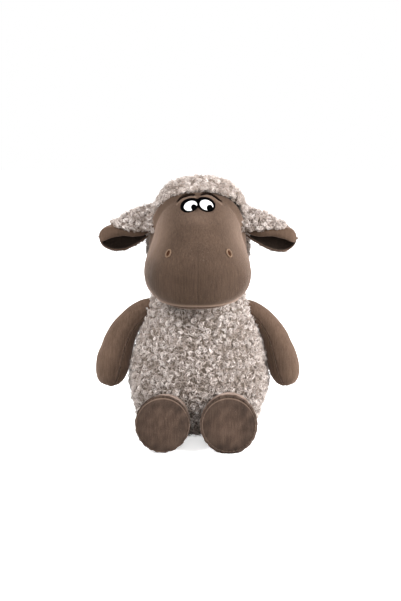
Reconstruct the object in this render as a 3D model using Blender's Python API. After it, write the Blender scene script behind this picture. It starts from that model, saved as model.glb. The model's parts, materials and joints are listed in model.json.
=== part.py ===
"""A plush sheep that sits: a curly wool body and hood, with face, ears, arms and legs of short pile.

Metres, +Z up. The sheep faces -Y, so its own left side is at +X. The origin is the middle of the flat seat
that it rests on. Every sewn cover is an open shell round its own stuffing, and pieces that touch on the real
toy lie TOUCH_GAP apart here.
"""

import math

import bmesh
import bpy
import numpy as np
from mathutils import Matrix, Vector

# Fabrics and clearances
TOUCH_GAP = 0.0003
SEAM_GAP = 0.0003
STUFFING_GAP = 0.0012
VELOUR_THICKNESS = 0.0018
WOOL_PILE = 0.0050
MERGE_DISTANCE = 0.000005
CUT_OVERRUN = 0.060
FLAT_CUT = 0.0005

# Body: a pear that is round in plan at the neck, so that the head can turn on it
BODY_HEIGHT = 0.196
BODY_WIDTH = 0.170
BODY_DEPTH = 0.150
# Height, half-width, and how far the ring has gone from the body's oval to a circle
BODY_RING_SHARES = (
    (0.000, 0.770, 0.00),
    (0.022, 0.840, 0.00),
    (0.060, 0.890, 0.00),
    (0.140, 0.945, 0.00),
    (0.270, 1.000, 0.00),
    (0.390, 0.985, 0.00),
    (0.510, 0.915, 0.15),
    (0.610, 0.830, 0.45),
    (0.700, 0.750, 0.85),
    (0.770, 0.708, 1.00),
    (0.840, 0.660, 1.00),
    (0.900, 0.575, 1.00),
    (0.955, 0.420, 1.00),
    (0.990, 0.200, 1.00),
    (1.000, 0.000, 1.00),
)
BODY_ROWS = 17
BODY_SEGMENTS = 40
BODY_COVER_THICKNESS = WOOL_PILE + VELOUR_THICKNESS
BODY_STUFFING_ROWS = 13
BODY_STUFFING_SEGMENTS = 24

# Seat patch and the bag of pellets that stands on it
SEAT_THICKNESS = 0.0030
SEAT_SEGMENTS = 40
PELLET_BAG_WIDTH = 0.090
PELLET_BAG_DEPTH = 0.076
PELLET_BAG_HEIGHT = 0.028
PELLET_RING_SHARES = (
    (0.00, 0.00),
    (0.00, 0.78),
    (0.14, 0.93),
    (0.38, 1.00),
    (0.65, 0.94),
    (0.86, 0.74),
    (0.97, 0.42),
    (1.00, 0.00),
)
PELLET_ROWS = 10
PELLET_SEGMENTS = 16

# Head: measured from the chin, and from the upright line through the middle of the neck
CHIN_HEIGHT = 0.785 * BODY_HEIGHT
HEAD_HEIGHT = 0.141
HEAD_WIDTH = 0.118
HEAD_DEPTH = 0.156
MUZZLE_REACH = 0.113
HEAD_SQUARENESS = 2.35
# Height, half-width, how far forward the ring's middle lies as a share of the reach, and half-depth
HEAD_RING_SHARES = (
    (0.000, 0.000, 0.640, 0.000),
    (0.016, 0.350, 0.610, 0.230),
    (0.045, 0.580, 0.570, 0.420),
    (0.100, 0.800, 0.500, 0.620),
    (0.166, 0.935, 0.430, 0.760),
    (0.240, 0.993, 0.370, 0.870),
    (0.310, 1.000, 0.325, 0.940),
    (0.400, 0.985, 0.275, 0.970),
    (0.500, 0.960, 0.220, 0.955),
    (0.600, 0.935, 0.165, 0.900),
    (0.700, 0.897, 0.118, 0.812),
    (0.790, 0.840, 0.085, 0.705),
    (0.870, 0.745, 0.062, 0.575),
    (0.935, 0.600, 0.050, 0.420),
    (0.980, 0.370, 0.044, 0.235),
    (1.000, 0.000, 0.042, 0.000),
)
HEAD_ROWS = 21
HEAD_SEGMENTS = 32
HEAD_STUFFING_ROWS = 13
HEAD_STUFFING_SEGMENTS = 20
HEAD_TURN_HEIGHT = BODY_HEIGHT
# The seam where the wool hood meets the face, a plane that leans forward as it rises
FACE_TOP_HEIGHT = CHIN_HEIGHT + 0.915 * HEAD_HEIGHT
FACE_TOP_REACH = 0.370 * MUZZLE_REACH
FACE_SEAM_LEAN = math.radians(23)
CHIN_SEAM_HEIGHT = CHIN_HEIGHT + 0.050 * HEAD_HEIGHT
CHIN_SEAM_RISE = math.radians(5)

# Eyes, nostrils and brow folds, placed on the face by height above the floor and by distance from its middle
EYE_HEIGHT = CHIN_HEIGHT + 0.807 * HEAD_HEIGHT
EYE_SPACING = 0.0176
EYE_WIDTH = 0.0156
EYE_TALL = 0.0110
EYE_TILT = math.radians(12)
EYE_RIM = 0.0021
EYE_LAYER = 0.0007
EYE_RINGS = 2
SURROUND_SEGMENTS = 32
EYE_SEGMENTS = 20
PUPIL_SEGMENTS = 16
PUPIL_DIAMETER = 0.0064
PUPIL_ASIDE = 0.0038
PUPIL_DROP = 0.0016
NOSTRIL_HEIGHT = CHIN_HEIGHT + 0.476 * HEAD_HEIGHT
NOSTRIL_SPACING = 0.0684
NOSTRIL_DIAMETER = 0.0072
NOSTRIL_THREAD = 0.0017
NOSTRIL_SEGMENTS = 16
THREAD_SIDES = 6
BROW_THREAD = 0.0012
BROW_INNER = 0.0032
BROW_OUTER = 0.0262
BROW_INNER_HEIGHT = CHIN_HEIGHT + 0.884 * HEAD_HEIGHT
BROW_ARCH = 0.0012
BROW_OUTER_DROP = 0.0068
BROW_POINTS = 8

# Ears: a leaf that is folded lengthwise into a scoop, wool outside and short pile inside, on a round root.
# Its lining rolls out over the front rim like a visor, and the wool ends at that roll
EAR_LENGTH = 0.056
EAR_HEIGHT = 0.040
EAR_DEPTH = 0.027
EAR_ROOT_RADIUS = 0.008
EAR_CENTRE_HEIGHT = CHIN_HEIGHT + 0.622 * HEAD_HEIGHT
EAR_REACH = 0.018
EAR_DROOP = math.radians(18)
# Distance from the root, the leaf's height and depth there, and how thick its cloth is sewn there
EAR_LENGTH_SHARES = (
    (0.000, 0.040, 0.040, 0.200),
    (0.035, 0.170, 0.200, 0.300),
    (0.120, 0.440, 0.540, 0.800),
    (0.280, 0.820, 0.900, 1.000),
    (0.480, 1.000, 1.000, 1.000),
    (0.680, 0.970, 0.960, 1.000),
    (0.850, 0.760, 0.780, 1.000),
    (0.950, 0.470, 0.500, 1.000),
    (1.000, 0.100, 0.100, 1.000),
)
# The lining's section from the visor's lip, over the top and the back, to the lower rim: forward and up
EAR_SECTION_SHARES = (
    (0.330, 0.000),
    (0.450, 0.120),
    (0.330, 0.290),
    (0.060, 0.390),
    (-0.220, 0.330),
    (-0.370, 0.080),
    (-0.330, -0.230),
    (-0.110, -0.420),
    (0.160, -0.470),
    (0.340, -0.430),
)
EAR_WOOL_FROM_SHARE = 0.26
EAR_WOOL_TO_SHARE = 0.86
EAR_ROWS = 10
EAR_COLUMNS = 12
EAR_WOOL_THICKNESS = 0.0040

# Arms: curved sausages sewn on at the shoulder, given as shares of the drop and the spread from there
ARM_DROP = 0.095
ARM_SPREAD = 0.052
ARM_WIDTH = 0.0370
ARM_FLATNESS_SHARE = 0.84
ARM_SEAM_ANGLE = math.radians(104)
SHOULDER_HEIGHT = 0.730 * BODY_HEIGHT
SHOULDER_SINK = 0.0050
ARM_PIVOT_SINK = 0.0010
ARM_PIVOT_RISE = 0.0090
ARM_HAND_FORWARD = 0.010
# Spread, drop and half-width down the arm
ARM_RING_SHARES = (
    (0.000, 0.000, 0.480),
    (0.190, 0.050, 0.560),
    (0.400, 0.140, 0.650),
    (0.600, 0.275, 0.770),
    (0.745, 0.425, 0.890),
    (0.840, 0.580, 0.985),
    (0.910, 0.730, 1.000),
    (0.960, 0.860, 0.840),
    (0.985, 0.945, 0.560),
    (0.997, 0.988, 0.270),
    (1.000, 1.000, 0.000),
)
ARM_ROWS = 13
ARM_PANEL_SEGMENTS = 8
ARM_STUFFING_ROWS = 10
ARM_STUFFING_SEGMENTS = 12

# Legs: short and thick, lying forward from the lower body, each closed by a round sole that leans back
LEG_SPACING = 0.0705
LEG_DIAMETER = 0.0600
SOLE_DIAMETER = 0.0610
LEG_REACH = 0.035
SOLE_TILT = math.radians(13)
SOLE_THICKNESS = 0.0022
SOLE_CROWN = 0.0016
LEG_SUNK_SHARE = 0.40
# Distance from the root, and radius
LEG_RING_SHARES = (
    (0.000, 0.830),
    (0.350, 0.900),
    (0.650, 0.970),
    (0.850, 1.000),
    (0.960, 0.995),
    (1.000, 0.970),
)
LEG_ROWS = 7
LEG_SEGMENTS = 26
LEG_STUFFING_ROWS = 5
LEG_STUFFING_SEGMENTS = 18
LEG_PIVOT_SHARE = 0.590

# Tail: a small woolly flap low on the back
TAIL_LENGTH = 0.036
TAIL_WIDTH = 0.025
TAIL_THICKNESS = 0.013
TAIL_ROOT_HEIGHT = 0.330 * BODY_HEIGHT
TAIL_LEAN = math.radians(16)
TAIL_RING_SHARES = (
    (0.00, 0.00),
    (0.04, 0.34),
    (0.18, 0.62),
    (0.45, 0.92),
    (0.70, 1.00),
    (0.90, 0.68),
    (0.98, 0.30),
    (1.00, 0.00),
)
TAIL_ROWS = 10
TAIL_SEGMENTS = 12

FULL_TURN = 2 * math.pi
SIDES = (("left", 1), ("right", -1))

WOOL_COLOUR = (0.42, 0.37, 0.33, 1.0)
VELOUR_COLOUR = (0.135, 0.098, 0.078, 1.0)
STUFFING_COLOUR = (0.90, 0.90, 0.88, 1.0)
PELLET_CLOTH_COLOUR = (0.78, 0.77, 0.72, 1.0)
BLACK_THREAD_COLOUR = (0.008, 0.008, 0.009, 1.0)
WHITE_THREAD_COLOUR = (0.93, 0.93, 0.92, 1.0)
BROWN_THREAD_COLOUR = (0.060, 0.035, 0.025, 1.0)


def clear_scene():
    """Removes every object of the scene that the script starts in."""
    for item in list(bpy.data.objects):
        bpy.data.objects.remove(item, do_unlink=True)


def cloth(name, colour, roughness):
    """A plain cloth or thread finish."""
    material = bpy.data.materials.new(name)
    material.use_nodes = True
    shader = material.node_tree.nodes["Principled BSDF"]
    shader.inputs["Base Color"].default_value = colour
    shader.inputs["Roughness"].default_value = roughness
    shader.inputs["Metallic"].default_value = 0.0
    return material


def smooth_rows(table, count):
    """Rows spread evenly along a Catmull-Rom curve through a table's rows, none below the table's lowest."""
    rows = np.array(table, float)
    padded = np.vstack((2 * rows[0] - rows[1], rows, 2 * rows[-1] - rows[-2]))
    made = []
    for place in np.linspace(0, len(rows) - 1, count):
        start = min(int(place), len(rows) - 2)
        t = place - start
        before, here, there, after = padded[start : start + 4]
        bend = 2 * before - 5 * here + 4 * there - after
        twist = 3 * here - before - 3 * there + after
        made.append(0.5 * (2 * here + (there - before) * t + bend * t**2 + twist * t**3))
    made[0], made[-1] = rows[0], rows[-1]
    return np.maximum(np.array(made), rows.min(axis=0))


def bent(value, squareness):
    """A cosine or sine turned into a superellipse's, with 2 for a plain oval."""
    return math.copysign(abs(value) ** (2 / squareness), value)


def turns(count, start=0.0, stop=FULL_TURN):
    """Angles round a ring. A full ring leaves out its last angle, which is the first one again."""
    whole = math.isclose(stop - start, FULL_TURN)
    return np.linspace(start, stop, count, endpoint=not whole)


def oval(middle, half_width, half_depth, angles, squareness=2.0):
    """Points of a level oval round a middle point."""
    x, y, z = middle
    return [
        (x + half_width * bent(math.cos(a), squareness), y + half_depth * bent(math.sin(a), squareness), z)
        for a in angles
    ]


def add_grid(mesh, rows, wrap):
    """Adds a sheet of quads through rows of points to a bmesh, and returns its vertices."""
    grid = [[mesh.verts.new(point) for point in row] for row in rows]
    for lower, upper in zip(grid, grid[1:]):
        for i in range(len(lower) if wrap else len(lower) - 1):
            j = (i + 1) % len(lower)
            mesh.faces.new((lower[i], lower[j], upper[j], upper[i]))
    return grid


def finished(name, mesh, material):
    """Closes a bmesh's poles, turns its faces outward, and makes the object that holds it."""
    bmesh.ops.remove_doubles(mesh, verts=mesh.verts, dist=MERGE_DISTANCE)
    bmesh.ops.dissolve_degenerate(mesh, edges=mesh.edges, dist=MERGE_DISTANCE)
    bmesh.ops.recalc_face_normals(mesh, faces=mesh.faces)
    data = bpy.data.meshes.new(name)
    mesh.to_mesh(data)
    mesh.free()
    data.shade_smooth()
    data.set_sharp_from_angle(angle=math.radians(40))
    item = bpy.data.objects.new(name, data)
    bpy.context.scene.collection.objects.link(item)
    if material is not None:
        data.materials.append(material)
    return item


def solid(name, rows, material=None):
    """A closed form lofted through rings, with flat ends where the first or last ring isn't a point."""
    mesh = bmesh.new()
    grid = add_grid(mesh, rows, wrap=True)
    for end in (grid[0], grid[-1]):
        if (end[0].co - end[len(end) // 2].co).length > MERGE_DISTANCE:
            mesh.faces.new(end)
    return finished(name, mesh, material)


def plate(name, outer_rows, inner_rows, material, wrap=False, closed_tip=False):
    """A curved plate of cloth between two matching sheets. A closed tip has a pole in place of its last rim."""
    mesh = bmesh.new()
    outer = add_grid(mesh, outer_rows, wrap)
    inner = add_grid(mesh, inner_rows, wrap)
    rims = [(outer[0], inner[0])]
    if not closed_tip:
        rims.append((outer[-1], inner[-1]))
    for over, under in rims:
        for i in range(len(over) if wrap else len(over) - 1):
            j = (i + 1) % len(over)
            mesh.faces.new((over[i], over[j], under[j], under[i]))
    if not wrap:
        for column in (0, -1):
            for lower in range(len(outer) - 1):
                over, over_next = outer[lower][column], outer[lower + 1][column]
                under, under_next = inner[lower][column], inner[lower + 1][column]
                mesh.faces.new((over, over_next, under_next, under))
    return finished(name, mesh, material)


def cut(item, operation, tool):
    """Adds a Boolean with a hidden tool to an object."""
    modifier = item.modifiers.new(f"{operation.lower()}_{tool.name}", "BOOLEAN")
    modifier.operation = operation
    modifier.object = tool
    modifier.solver = "EXACT"
    tool.hide_render = True
    tool.display_type = "WIRE"
    return item


def side_prism(name, outline, low_x, high_x):
    """A cutter with an outline in Y and Z, from one X to another."""
    return solid(name, [[(x, y, z) for y, z in outline] for x in (low_x, high_x)])


def pivot(name, place):
    """An empty on a joint's axis."""
    empty = bpy.data.objects.new(name, None)
    empty.location = place
    bpy.context.scene.collection.objects.link(empty)
    return empty


def hang(items, empty):
    """Parents pieces to the empty on their joint's axis, where they are."""
    for item in items:
        item.parent = empty
        item.matrix_parent_inverse = Matrix.Translation(empty.location).inverted()


def body_ring_sizes(inset, rows=BODY_ROWS):
    """Height, half-width and half-depth of each ring of the body, for a skin that lies inset under its wool."""
    made = []
    for height, width, round_share in smooth_rows(BODY_RING_SHARES, rows):
        half_width = max(width * BODY_WIDTH / 2 - inset, 0) if width else 0.0
        oval_depth = max(width * BODY_DEPTH / 2 - inset, 0) if width else 0.0
        half_depth = oval_depth + (half_width - oval_depth) * round_share
        made.append((height * (BODY_HEIGHT - inset), half_width, half_depth))
    return made


def body_rings(inset, angles, shift=0.0, rows=BODY_ROWS):
    """Rings of the body, moved by shift along Y."""
    return [
        oval((0, shift, height), half_width, half_depth, angles)
        for height, half_width, half_depth in body_ring_sizes(inset, rows)
    ]


def body_reach(height, sideways):
    """How far from the neck's line the body's side, or else its back, lies at a height."""
    rings = np.array(body_ring_sizes(0.0))
    return float(np.interp(height, rings[:, 0], rings[:, 1 if sideways else 2]))


def body_cutter():
    """The space that the body takes, which every sewn-on piece is cut by."""
    _, half_width, half_depth = body_ring_sizes(-TOUCH_GAP)[0]
    below = oval((0, 0, -CUT_OVERRUN), half_width, half_depth, turns(BODY_SEGMENTS))
    return solid("body_space", [below, *body_rings(-TOUCH_GAP, turns(BODY_SEGMENTS))])


def head_ring_sizes(inset, rows):
    """Height, half-width, middle and half-depth of each ring of the head."""
    middle_height = CHIN_HEIGHT + HEAD_HEIGHT / 2
    made = []
    for height, width, forward, depth in smooth_rows(HEAD_RING_SHARES, rows):
        level = (height - 0.5) * (HEAD_HEIGHT - 2 * inset) + middle_height
        half_width = width * (HEAD_WIDTH / 2 - inset)
        half_depth = depth * (HEAD_DEPTH / 2 - inset)
        made.append((level, half_width, -forward * MUZZLE_REACH, half_depth))
    return made


def head_solid(name, inset, rows=HEAD_ROWS, segments=HEAD_SEGMENTS, material=None):
    """The head's whole form, inset under the face's surface."""
    rings = [
        oval((0, middle, level), half_width, half_depth, turns(segments), HEAD_SQUARENESS)
        for level, half_width, middle, half_depth in head_ring_sizes(inset, rows)
    ]
    return solid(name, rings, material)


def face_point(x, height, lift):
    """The point on the front of the face at a distance from its middle and a height, lifted off along Y."""
    sizes = np.array(head_ring_sizes(0.0, HEAD_ROWS))
    half_width, middle, half_depth = (np.interp(height, sizes[:, 0], sizes[:, k]) for k in (1, 2, 3))
    across = min(abs(x) / half_width, 1)
    forward = half_depth * (1 - across**HEAD_SQUARENESS) ** (1 / HEAD_SQUARENESS)
    return Vector((x, middle - forward - lift, height))


def face_normal(x, height):
    """The direction straight out of the face at a point."""
    step = BROW_THREAD
    across = face_point(x + step, height, 0) - face_point(x - step, height, 0)
    up = face_point(x, height + step, 0) - face_point(x, height - step, 0)
    return across.cross(up).normalized()


def on_face(x, height, lift):
    """The point that lies lift straight out from the face."""
    return face_point(x, height, 0) + face_normal(x, height) * lift


def seam_y(height, standoff):
    """Where the plane of the hood's seam lies at a height, moved back by a standoff."""
    return -FACE_TOP_REACH + (FACE_TOP_HEIGHT - height) * math.tan(FACE_SEAM_LEAN) + standoff


def chin_z(y, standoff):
    """How high the plane of the chin's seam lies at a place along Y, moved up by a standoff."""
    return CHIN_SEAM_HEIGHT + (y + MUZZLE_REACH) * math.tan(CHIN_SEAM_RISE) + standoff


def seam_corner(back, up):
    """Where the hood's seam, moved back, meets the chin's seam, moved up."""
    slopes = math.tan(FACE_SEAM_LEAN) * math.tan(CHIN_SEAM_RISE)
    y = (seam_y(0.0, back) - chin_z(0.0, up) * math.tan(FACE_SEAM_LEAN)) / (1 + slopes)
    return y, chin_z(y, up)


def head_cutters():
    """The spaces of the two face panels, the chin panel and the hood, as seen from the side."""
    top = CHIN_HEIGHT + HEAD_HEIGHT + CUT_OVERRUN
    bottom = CHIN_HEIGHT - CUT_OVERRUN
    front = -MUZZLE_REACH - CUT_OVERRUN
    back = HEAD_DEPTH - MUZZLE_REACH + CUT_OVERRUN
    far = HEAD_WIDTH / 2 + CUT_OVERRUN
    half = SEAM_GAP / 2
    face = ((front, chin_z(front, half)), seam_corner(-half, half), (seam_y(top, -half), top), (front, top))
    chin = (
        (front, bottom),
        (seam_y(bottom, -half), bottom),
        seam_corner(-half, -half),
        (front, chin_z(front, -half)),
    )
    hood = ((back, bottom), (back, top), (seam_y(top, half), top), (seam_y(bottom, half), bottom))
    return {
        "face_panel_left": side_prism("face_left_space", face, half, far),
        "face_panel_right": side_prism("face_right_space", face, -far, -half),
        "chin_panel": side_prism("chin_space", chin, -far, far),
        "wool_hood": side_prism("hood_space", hood, -far, far),
    }


def build_head_shell(body_space, velour, wool, stuffing):
    """The face panels, chin and hood, open where they are sewn to the body, round the head's stuffing."""
    cavity = head_solid("head_cavity", VELOUR_THICKNESS)
    pieces = []
    for name, space in head_cutters().items():
        woolly = name == "wool_hood"
        item = head_solid(name, -WOOL_PILE if woolly else 0.0, material=wool if woolly else velour)
        cut(item, "DIFFERENCE", body_space)
        cut(item, "INTERSECT", space)
        cut(item, "DIFFERENCE", cavity)
        pieces.append(item)
    core = head_solid(
        "head_stuffing",
        VELOUR_THICKNESS + STUFFING_GAP,
        HEAD_STUFFING_ROWS,
        HEAD_STUFFING_SEGMENTS,
        stuffing,
    )
    pieces.append(cut(core, "DIFFERENCE", body_space))
    return pieces


def face_plate(name, outline, segments, low, material):
    """A patch of thread that follows the face, from its low side up. The outline gives X and height at an angle."""
    edge = [Vector(outline(angle)) for angle in turns(segments)]
    centre = sum(edge, Vector((0, 0))) / segments
    sheets = []
    for lift in (low, low + EYE_LAYER):
        rows = []
        for ring in range(EYE_RINGS + 1):
            places = [centre + (place - centre) * ring / EYE_RINGS for place in edge]
            rows.append([on_face(x, height, lift) for x, height in places])
        sheets.append(rows)
    under, over = sheets
    return solid(name, [*under, *over[::-1]], material)


def eye_axes(side, grow):
    """The long and the short half-axis of one eyeball that is grown all round."""
    tilt = -side * EYE_TILT
    along = Vector((math.cos(tilt), math.sin(tilt)))
    return along * (EYE_WIDTH / 2 + grow), along.orthogonal() * (EYE_TALL / 2 + grow)


def eye_outline(side):
    """The outline of one eyeball."""
    along, across = eye_axes(side, 0.0)
    middle = Vector((side * EYE_SPACING / 2, EYE_HEIGHT))
    return lambda angle: middle + along * math.cos(angle) + across * math.sin(angle)


def surround_outline(angle):
    """The outline of the black patch round both eyes: the further of two grown ovals in each direction."""
    direction = Vector((math.cos(angle), math.sin(angle)))
    reaches = []
    for _, side in SIDES:
        axes = [axis / axis.length_squared for axis in eye_axes(side, EYE_RIM)]
        step = Vector([direction.dot(axis) for axis in axes])
        back = Vector([axis.x * side * EYE_SPACING / 2 for axis in axes])
        slope = step.dot(back)
        root = slope**2 - step.length_squared * (back.length_squared - 1)
        reaches.append((slope + math.sqrt(max(root, 0))) / step.length_squared)
    return Vector((0, EYE_HEIGHT)) + direction * max(reaches)


def pupil_outline(side):
    """The outline of one pupil, which looks aside and down."""
    middle = Vector((side * EYE_SPACING / 2 + PUPIL_ASIDE, EYE_HEIGHT - PUPIL_DROP))
    return lambda angle: middle + Vector((math.cos(angle), math.sin(angle))) * PUPIL_DIAMETER / 2


def build_eyes(black, white):
    """The black patch, the two eyeballs on it and the two pupils on them, each a layer of thread."""
    pieces = [face_plate("eye_surround", surround_outline, SURROUND_SEGMENTS, TOUCH_GAP, black)]
    layer = EYE_LAYER + TOUCH_GAP
    for name, side in SIDES:
        low = TOUCH_GAP + layer
        pieces.append(face_plate(f"eye_white_{name}", eye_outline(side), EYE_SEGMENTS, low, white))
        low += layer
        pieces.append(face_plate(f"pupil_{name}", pupil_outline(side), PUPIL_SEGMENTS, low, black))
    return pieces


def thread_ring(name, middle, normal, diameter, thread, material):
    """A ring of thread that lies on a surface."""
    across = normal.orthogonal().normalized()
    along = normal.cross(across)
    reach = (diameter - thread) / 2
    rows = []
    for angle in (*turns(NOSTRIL_SEGMENTS), 0.0):
        out = across * math.cos(angle) + along * math.sin(angle)
        centre = middle + out * reach
        rows.append(
            [centre + (out * math.cos(a) + normal * math.sin(a)) * thread / 2 for a in turns(THREAD_SIDES)]
        )
    mesh = bmesh.new()
    add_grid(mesh, rows, wrap=True)
    return finished(name, mesh, material)


def build_nostrils(thread):
    """Two small stitched rings on the muzzle."""
    pieces = []
    for name, side in SIDES:
        x = side * NOSTRIL_SPACING / 2
        normal = face_normal(x, NOSTRIL_HEIGHT)
        middle = on_face(x, NOSTRIL_HEIGHT, NOSTRIL_THREAD / 2 + TOUCH_GAP)
        ring = thread_ring(f"nostril_{name}", middle, normal, NOSTRIL_DIAMETER, NOSTRIL_THREAD, thread)
        pieces.append(ring)
    return pieces


def build_brows(thread):
    """Two stitched folds that arch over the eyes, thickest in the middle."""
    pieces = []
    for name, side in SIDES:
        rows = []
        for share in np.linspace(0, 1, BROW_POINTS):
            x = side * (BROW_INNER + (BROW_OUTER - BROW_INNER) * share)
            height = BROW_INNER_HEIGHT + BROW_ARCH * math.sin(math.pi * share) - BROW_OUTER_DROP * share**2.2
            normal = face_normal(x, height)
            radius = BROW_THREAD / 2 * (0.35 + 0.65 * math.sin(math.pi * share))
            centre = on_face(x, height, BROW_THREAD / 2 + TOUCH_GAP)
            up = Vector((0, 0, 1)) - normal * normal.z
            up.normalize()
            rows.append(
                [centre + (up * math.cos(a) + normal * math.sin(a)) * radius for a in turns(THREAD_SIDES)]
            )
        pieces.append(solid(f"brow_{name}", rows, thread))
    return pieces


def hood_half_width(height):
    """Half-width of the hood's wool at a height."""
    sizes = np.array(head_ring_sizes(-WOOL_PILE, HEAD_ROWS))
    return float(np.interp(height, sizes[:, 0], sizes[:, 1]))


def ear_pivot_place(side):
    """The middle of the ear's round root, which stands against the hood."""
    widest = max(hood_half_width(EAR_CENTRE_HEIGHT + rise) for rise in (-EAR_ROOT_RADIUS, EAR_ROOT_RADIUS))
    reach = widest + EAR_ROOT_RADIUS + TOUCH_GAP
    return Vector((side * reach, -EAR_REACH, EAR_CENTRE_HEIGHT))


def ear_sheet(side, lift):
    """Rows of points across the folded leaf, from root to tip, lifted outward off the lining's inner face."""
    root = ear_pivot_place(side)
    section = [Vector((forward, up)) for forward, up in smooth_rows(EAR_SECTION_SHARES, EAR_COLUMNS)]
    rows = []
    for along, height, depth, thick in smooth_rows(EAR_LENGTH_SHARES, EAR_ROWS):
        distance = along * EAR_LENGTH
        places = [Vector((f * depth * EAR_DEPTH, u * height * EAR_HEIGHT)) for f, u in section]
        row = []
        for i, place in enumerate(places):
            tangent = places[min(i + 1, len(places) - 1)] - places[max(i - 1, 0)]
            outward = Vector((tangent.y, -tangent.x)).normalized()
            forward, up = place + outward * lift * thick
            x = root.x + side * (distance - EAR_ROOT_RADIUS)
            row.append((x, root.y - forward, root.z - distance * math.tan(EAR_DROOP) + up))
        rows.append(row)
    return rows


def build_ear(name, side, wool, velour):
    """One ear: a lining of short pile, and the wool outside it from the visor's roll to the lower rim."""
    lining = plate(f"ear_lining_{name}", ear_sheet(side, 0.0), ear_sheet(side, VELOUR_THICKNESS), velour)
    first, last = (round(share * EAR_COLUMNS) for share in (EAR_WOOL_FROM_SHARE, EAR_WOOL_TO_SHARE))
    low = VELOUR_THICKNESS + TOUCH_GAP
    under, over = (
        [row[first:last] for row in ear_sheet(side, lift)] for lift in (low, low + EAR_WOOL_THICKNESS)
    )
    return [lining, plate(f"ear_wool_{name}", under, over, wool)]


def shoulder_reach():
    """How far out the middle of the arm's root lies, sunk in the body's side."""
    return body_reach(SHOULDER_HEIGHT, sideways=True) - SHOULDER_SINK


def arm_rings(side, inset, angles, shift=0.0, count=ARM_ROWS):
    """Rings down one arm. Angle 0 points away from the body, and shift moves the whole ring that way."""
    rows = smooth_rows(ARM_RING_SHARES, count)
    length = ARM_DROP - inset
    centres = [
        Vector(
            (
                side * (shoulder_reach() + spread * ARM_SPREAD),
                -ARM_HAND_FORWARD * drop,
                SHOULDER_HEIGHT - drop * length,
            )
        )
        for spread, drop, _ in rows
    ]
    front = Vector((0, -1, 0))
    rings = []
    for i, (centre, (_, _, width)) in enumerate(zip(centres, rows)):
        along = (centres[min(i + 1, count - 1)] - centres[max(i - 1, 0)]).normalized()
        out = along.cross(front).normalized() * -side
        radius = max(width * ARM_WIDTH / 2 - inset, 0) if width else 0.0
        middle = centre + out * shift
        rings.append(
            [
                middle + (out * math.cos(a) + front * math.sin(a) * ARM_FLATNESS_SHARE) * radius
                for a in angles
            ]
        )
    return rings


def build_arm(name, side, body_space, velour, stuffing):
    """One arm: an outer and an inner panel round their stuffing, cut where they are sewn to the body."""
    pieces = []
    halves = (
        ("outer", -ARM_SEAM_ANGLE, ARM_SEAM_ANGLE, 1),
        ("inner", ARM_SEAM_ANGLE, FULL_TURN - ARM_SEAM_ANGLE, -1),
    )
    for half, start, stop, away in halves:
        angles = turns(ARM_PANEL_SEGMENTS, start, stop)
        shift = away * SEAM_GAP / 2
        panel = plate(
            f"arm_{half}_panel_{name}",
            arm_rings(side, 0.0, angles, shift),
            arm_rings(side, VELOUR_THICKNESS, angles, shift),
            velour,
            closed_tip=True,
        )
        pieces.append(cut(panel, "DIFFERENCE", body_space))
    inset = VELOUR_THICKNESS + STUFFING_GAP
    core = arm_rings(side, inset, turns(ARM_STUFFING_SEGMENTS), count=ARM_STUFFING_ROWS)
    pieces.append(cut(solid(f"arm_stuffing_{name}", core, stuffing), "DIFFERENCE", body_space))
    return pieces


def leg_rings(side, inset, end_gap, rows, segments):
    """Rings along one leg, from inside the body to its sole, flat underneath where they meet the floor."""
    root = LEG_SUNK_SHARE * BODY_DEPTH / 2
    length = BODY_DEPTH / 2 + LEG_REACH - end_gap - root
    rings = []
    for along, width in smooth_rows(LEG_RING_SHARES, rows):
        outer = width * LEG_DIAMETER / 2
        middle = outer - FLAT_CUT
        ring = []
        for angle in turns(segments):
            z = max(middle + (outer - inset) * math.sin(angle), inset)
            lean = along**3 * (z - SOLE_DIAMETER / 2) * math.tan(SOLE_TILT)
            x = side * LEG_SPACING / 2 + (outer - inset) * math.cos(angle)
            ring.append((x, lean - root - along * length, z))
        rings.append(ring)
    return rings


def build_sole(name, side, material):
    """The round sole, a little crowned and leaning back, that closes the end of a leg."""
    radius = SOLE_DIAMETER / 2
    profile = (
        (0.0, 0.0),
        (radius, 0.0),
        (radius, SOLE_THICKNESS / 2),
        (radius - SOLE_THICKNESS / 2, SOLE_THICKNESS),
        (radius / 2, SOLE_THICKNESS + 0.75 * SOLE_CROWN),
        (0.0, SOLE_THICKNESS + SOLE_CROWN),
    )
    rows = []
    for reach, rise in profile:
        row = []
        for angle in turns(LEG_SEGMENTS):
            up = reach * math.sin(angle)
            y = up * math.tan(SOLE_TILT) - BODY_DEPTH / 2 - LEG_REACH - TOUCH_GAP - rise
            row.append((side * LEG_SPACING / 2 + reach * math.cos(angle), y, radius + TOUCH_GAP + up))
        rows.append(row)
    return solid(f"foot_sole_{name}", rows, material)


def build_leg(name, side, body_space, velour, stuffing):
    """One leg: a tube of short pile and its round sole, round their stuffing."""
    cover = plate(
        f"leg_cover_{name}",
        leg_rings(side, 0.0, 0.0, LEG_ROWS, LEG_SEGMENTS),
        leg_rings(side, VELOUR_THICKNESS, 0.0, LEG_ROWS, LEG_SEGMENTS),
        velour,
        wrap=True,
    )
    inset = VELOUR_THICKNESS + STUFFING_GAP
    rings = leg_rings(side, inset, STUFFING_GAP, LEG_STUFFING_ROWS, LEG_STUFFING_SEGMENTS)
    core = solid(f"leg_stuffing_{name}", rings, stuffing)
    return [
        cut(cover, "DIFFERENCE", body_space),
        build_sole(name, side, velour),
        cut(core, "DIFFERENCE", body_space),
    ]


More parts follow.
